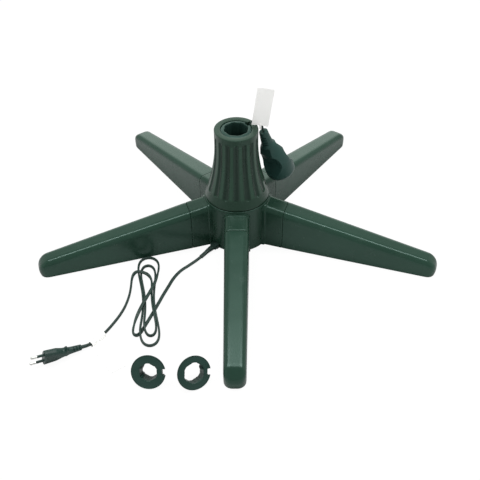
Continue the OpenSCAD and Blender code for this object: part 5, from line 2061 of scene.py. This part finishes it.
@dataclass
class Outlet:
    """Hanging outlet: a bell with two finger flats, scalloped ridges and a slit neck.

    Attributes:
        scallop: (height, distance from the axis) of the finger flats' bends: a shelf, a long
            slope inwards, the grip's hollow, a sharp brow and a facet up to the neck.
        recess, recess_cut: half width, half length and cut-off corners of the face's recess.
        neck_slits: heights of the neck's slits above the body.
        slit_bridge: as in Plug.
    """

    place: OutletPlace = field(default_factory=OutletPlace)
    r: float = 24.0
    neck_r: float = 7.0
    scallop: tuple[tuple[float, float], ...] = (
        (10.6, 40.0), (11.4, 24.0), (12.5, 21.6), (16.0, 19.0), (28.0, 11.0), (33.0, 9.5),
        (40.0, 9.4), (46.0, 10.3), (49.0, 12.0), (50.6, 13.6), (58.0, 11.2), (65.0, 8.4),
        (66.2, 9.4), (67.0, 40.0),
    )
    recess: tuple[float, float] = (7.5, 18.0)
    recess_cut: float = 4.0
    recess_top: float = 12.6
    neck_slits: tuple[float, ...] = (5.7, 10.2, 14.7, 19.2)
    slit_half_w: float = 0.95
    slit_share: float = 0.24
    slit_bridge: tuple[float, float] = (0.55, 0.12)

    def bell(self) -> Array:
        """Outer profile (r, z) from the face's edge to the neck's top."""
        r, top = self.r, self.place.length
        return filled_in(np.array([
            [r - 4, 0], [r - 2.4, 0.5], [r - 1.2, 2.2], [r - 0.2, 5.0], [r, 8.0], [r, 22.0],
            [r - 0.7, 31.0], [r - 2.2, 40.0], [r - 4.6, 49.0], [r - 7.6, 57.0],
            [r - 9.6, top - 4], [r - 11.2, top - 0.6], [r - 12.6, top + 1.2],
            [self.neck_r + 2.8, top + 3.2], [self.neck_r + 2.0, top + 8],
            [self.neck_r, top + self.place.neck_len - 0.6],
            [self.neck_r - 0.6, top + self.place.neck_len],
        ]), 0.7, closed=False)

    def flat(self, z: Array) -> Array:
        """Distance of the finger flats from the axis at a height, by straight stretches."""
        heights, distances = np.array(self.scallop).T
        return np.interp(z, heights, distances)

    def recess_r(self, angle: Array) -> Array:
        """Polar radius of the recess: a rectangle with its corners cut off.

        Args:
            angle: round the face, in radians.

        Returns:
            The radius at each angle.
        """
        half_w, half_l = self.recess
        c, s = np.abs(np.cos(angle)), np.abs(np.sin(angle))
        wedge = (half_w - self.recess_cut + half_l) / np.maximum(c + s, 1e-6)
        return np.minimum.reduce([
            half_w / np.maximum(c, 1e-6), half_l / np.maximum(s, 1e-6), wedge
        ])

    def build(self) -> None:
        """Makes the body in place of its CAD node, with the recess in its face."""
        profile = self.bell()
        angles = circle(288)
        rows = revolved(profile, angles)
        x, y, z = rows[..., 0], rows[..., 1], rows[..., 2]
        limit = self.flat(z)
        soft = np.sign(x) * np.minimum(np.abs(x), limit)
        slits = np.zeros_like(z)
        for at in self.neck_slits:
            away = (z - self.place.length - at) / self.slit_half_w
            slits = np.maximum(slits, np.exp(-(away**4)))
        start, span = self.slit_bridge
        side = smoothstep((np.abs(np.cos(angles))[:, None] - start) / span)
        shrink = 1 - self.slit_share * slits * side
        points = np.stack([soft * shrink, y * shrink, z], -1)
        points = points - self.place.bow(z)
        edge = self.recess_r(angles)
        ring = np.stack([edge * np.cos(angles), edge * np.sin(angles)], -1)
        face = []
        levels = ((1.0, self.recess_top), (1.0, 6.0), (1.0, 0.6), (1.03, 0.0), (1.12, 0.0))
        for share, height in levels:
            limit_r = np.minimum(share * edge, self.r - 4.3)
            scale = (limit_r / edge)[:, None]
            face.append(np.column_stack([ring * scale, np.full(len(ring), height)]))
        points = np.concatenate([np.stack(face, axis=1), points], axis=1)
        piece = Piece("outlet_shell", "column", "outlet_plastic", ("outlet_body",), sharp_deg=40)
        piece.grid(self.place.put(points.transpose(1, 0, 2)), close_v=True, caps=True)
        piece.build(OUTLET_PLASTIC)


# ---- carried-over nodes


@dataclass
class InnerWorks:
    """Finishes of the CAD nodes that stay: drive, bearings, current path, screws and pads."""

    finishes: dict[str, Finish] = field(default_factory=lambda: {
        "base_cover": HUB_PLASTIC, "base_screws": ZINC, "bearing_bush": BEARING_NYLON,
        "thrust_ring": BEARING_NYLON, "gear_motor": ZINC, "motor_screws": ZINC,
        "brush_block": BLACK_PLASTIC, "brush_contacts": CARBON, "terminal_block": WHITE_PLASTIC,
        "internal_leads": LEAD_SKIN, "pole_cup": HUB_PLASTIC, "cup_screws": ZINC,
        "drive_gear": GEAR_NYLON, "slip_ring_disc": GEAR_NYLON, "slip_rings": BRASS,
        "spindle_screw": ZINC, "ring_leads": LEAD_SKIN, "motor_shaft": ZINC,
        "drive_pinion": GEAR_NYLON, "outlet_face": OUTLET_PLASTIC, "outlet_contacts": BRASS,
        "plug_pins": NICKEL, **{f"pad_{name}": PAD_RUBBER for name in LegForm.names},
    })

    def dress(self) -> None:
        """Gives each node its finish."""
        for name, finish in self.finishes.items():
            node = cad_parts[name]
            node.data.materials.clear()
            node.data.materials.append(finish.material())
            LOG.info("%s: %s", name, finish.name)


# ---- studio


@dataclass
class Studio:
    """White floor and world, two bright lamps above and a soft box behind.

    The world is white to the camera. Gloss sees it in steps of strength.

    Attributes:
        ambient_front, ambient_back: strength of its plain light from the front and the back.
        front, horizon, backdrop, dim: what gloss sees low in front, aside, behind and above.
        back_box, box_heights: the box behind: its strength, and the heights of a direction at
            which it starts, is full, fades and ends.
        floor_white, glow: share of the floor that shows white without light, and its strength.
        floor_grey: colour of the rest of the floor.
        lamp_way, lamp_far: direction of the right lamp, and its distance in metres.
        lamp_side: a lamp's width and height, in distances.
    """

    ambient_front: float = 1.1
    ambient_back: float = 0.28
    front: float = 0.42
    horizon: float = 0.85
    backdrop: float = 1.9
    dim: float = 0.30
    gloss_tint: tuple[float, float, float] = (0.90, 1.0, 0.93)
    back_box: float = 3.6
    box_heights: tuple[float, float, float, float] = (0.872, 0.945, 0.975, 0.995)
    box_half_width: float = 0.34
    floor_white: float = 0.88
    glow: float = 1.06
    floor_grey: float = 0.65
    floor_size: float = 40000.0
    floor_z: float = -0.4
    lamp_way: tuple[float, float, float] = (0.36, 0.10, 0.93)
    lamp_far: float = 2.0
    lamp_watts: float = 18.0
    lamp_side: tuple[float, float] = (0.60, 0.16)

    def world(self) -> None:
        """Makes the world: white to camera and through glass, graded for gloss, plain for light."""
        world = bpy.data.worlds.new("studio")
        world.use_nodes = True
        bpy.context.scene.world = world
        bench = Bench(world.node_tree)
        camera = bench.ray("Camera")
        gloss = bench.ray("Glossy")
        through = bench.ray("Transmission")
        direction = bench.add("ShaderNodeTexCoord", {}, {}, "Generated")
        x, y, z = bench.axes(direction)
        aside = x / y
        straight = (1 - aside.between(0.4, 1.0)) * aside.between(-1.0, -0.4)
        wall = self.front + y.between(-0.9, -0.1) * (self.horizon - self.front)
        wall = wall + y.between(0.1, 0.6) * straight * (self.backdrop - self.horizon)
        seen = wall + z.between(0.40, 0.85) * (self.dim - wall)
        start, full, fade, end = self.box_heights
        half = self.box_half_width
        box = z.between(start, full) * (1 - z.between(fade, end)) * y.between(0.05, 0.12)
        box = box * aside.between(-half - 0.06, -half) * (1 - aside.between(half, half + 0.06))
        seen = seen + box * (self.back_box - self.dim)
        plain = 1 - (camera + gloss + through)
        lit = self.ambient_front + y.between(-0.6, 0.6) * (self.ambient_back - self.ambient_front)
        strength = camera + through + gloss * seen + plain * lit
        tint = bench.mix(gloss, rgba((1, 1, 1)), rgba(self.gloss_tint))
        shader = bench.add("ShaderNodeBackground", {}, {"Color": tint, "Strength": strength})
        bench.add("ShaderNodeOutputWorld", {}, {"Surface": shader})

    def floor(self) -> None:
        """Makes the white floor, part of whose white shows to camera and gloss without light."""
        mesh = bpy.data.meshes.new("floor")
        corners = np.array([[-1, -1], [1, -1], [1, 1], [-1, 1]]) * self.floor_size / 2
        corners = np.column_stack([corners, np.full(4, self.floor_z)]) * MM
        mesh.from_pydata(corners.tolist(), [], [[0, 1, 2, 3]])
        floor = bpy.data.objects.new("floor", mesh)
        bpy.context.scene.collection.objects.link(floor)
        material = bpy.data.materials.new("floor_white")
        material.use_nodes = True
        bench = Bench(material.node_tree)
        camera = bench.ray("Camera")
        through = bench.ray("Transmission")
        seen = camera + through
        lit = bench.add("ShaderNodeBsdfDiffuse", {}, {"Color": rgba((self.floor_grey,) * 3)})
        glow = bench.add("ShaderNodeEmission", {}, {"Color": rgba((1, 1, 1)), "Strength": self.glow})
        shader = bench.add("ShaderNodeMixShader", {}, {0: seen * self.floor_white, 1: lit, 2: glow})
        bench.add("ShaderNodeOutputMaterial", {}, {"Surface": shader})
        mesh.materials.append(material)

    def lamp(self, name: str, way: Sequence[float]) -> None:
        """Adds a box of light that faces the object's middle from a direction.

        Args:
            name: the lamp's name.
            way: direction in which it lies.
        """
        data = bpy.data.lights.new(name, "AREA")
        data.shape = "RECTANGLE"
        data.size, data.size_y = (side * self.lamp_far for side in self.lamp_side)
        data.energy = self.lamp_watts
        lamp = bpy.data.objects.new(name, data)
        bpy.context.scene.collection.objects.link(lamp)
        way = unit(way)
        right = unit(np.cross([0, 1, 0], way))
        place = np.eye(4)
        place[:3, :3] = np.column_stack([right, np.cross(way, right), way])
        place[:3, 3] = way * self.lamp_far + [0, 0, 0.08]
        lamp.matrix_world = Matrix(place.tolist())

    def build(self) -> None:
        """Makes world, floor and lamps."""
        bpy.context.scene.view_settings.view_transform = "Standard"
        self.world()
        self.floor()
        x, y, z = self.lamp_way
        self.lamp("lamp_left", (-x, y, z))
        self.lamp("lamp_right", (x, y, z))


# ---- main


def main() -> None:
    """Builds camera, cords, pieces, finishes and studio, in that order."""
    logging.basicConfig(level=logging.INFO, format="%(message)s")
    Viewpoint().place()
    mains = MainsCord()
    cord, path = mains.build()
    OutletCord().build()
    relief = Gland().build(path)
    plug = Plug().build()
    labels = Labels()
    labels.outlet_label()
    tag = labels.mains_label()
    mains.declare(cord, path)
    Legs().build()
    Hub().build()
    Column().build()
    build_adapters()
    Outlet().build()
    InnerWorks().dress()
    Studio().build()


if __name__ == "__main__":
    main()
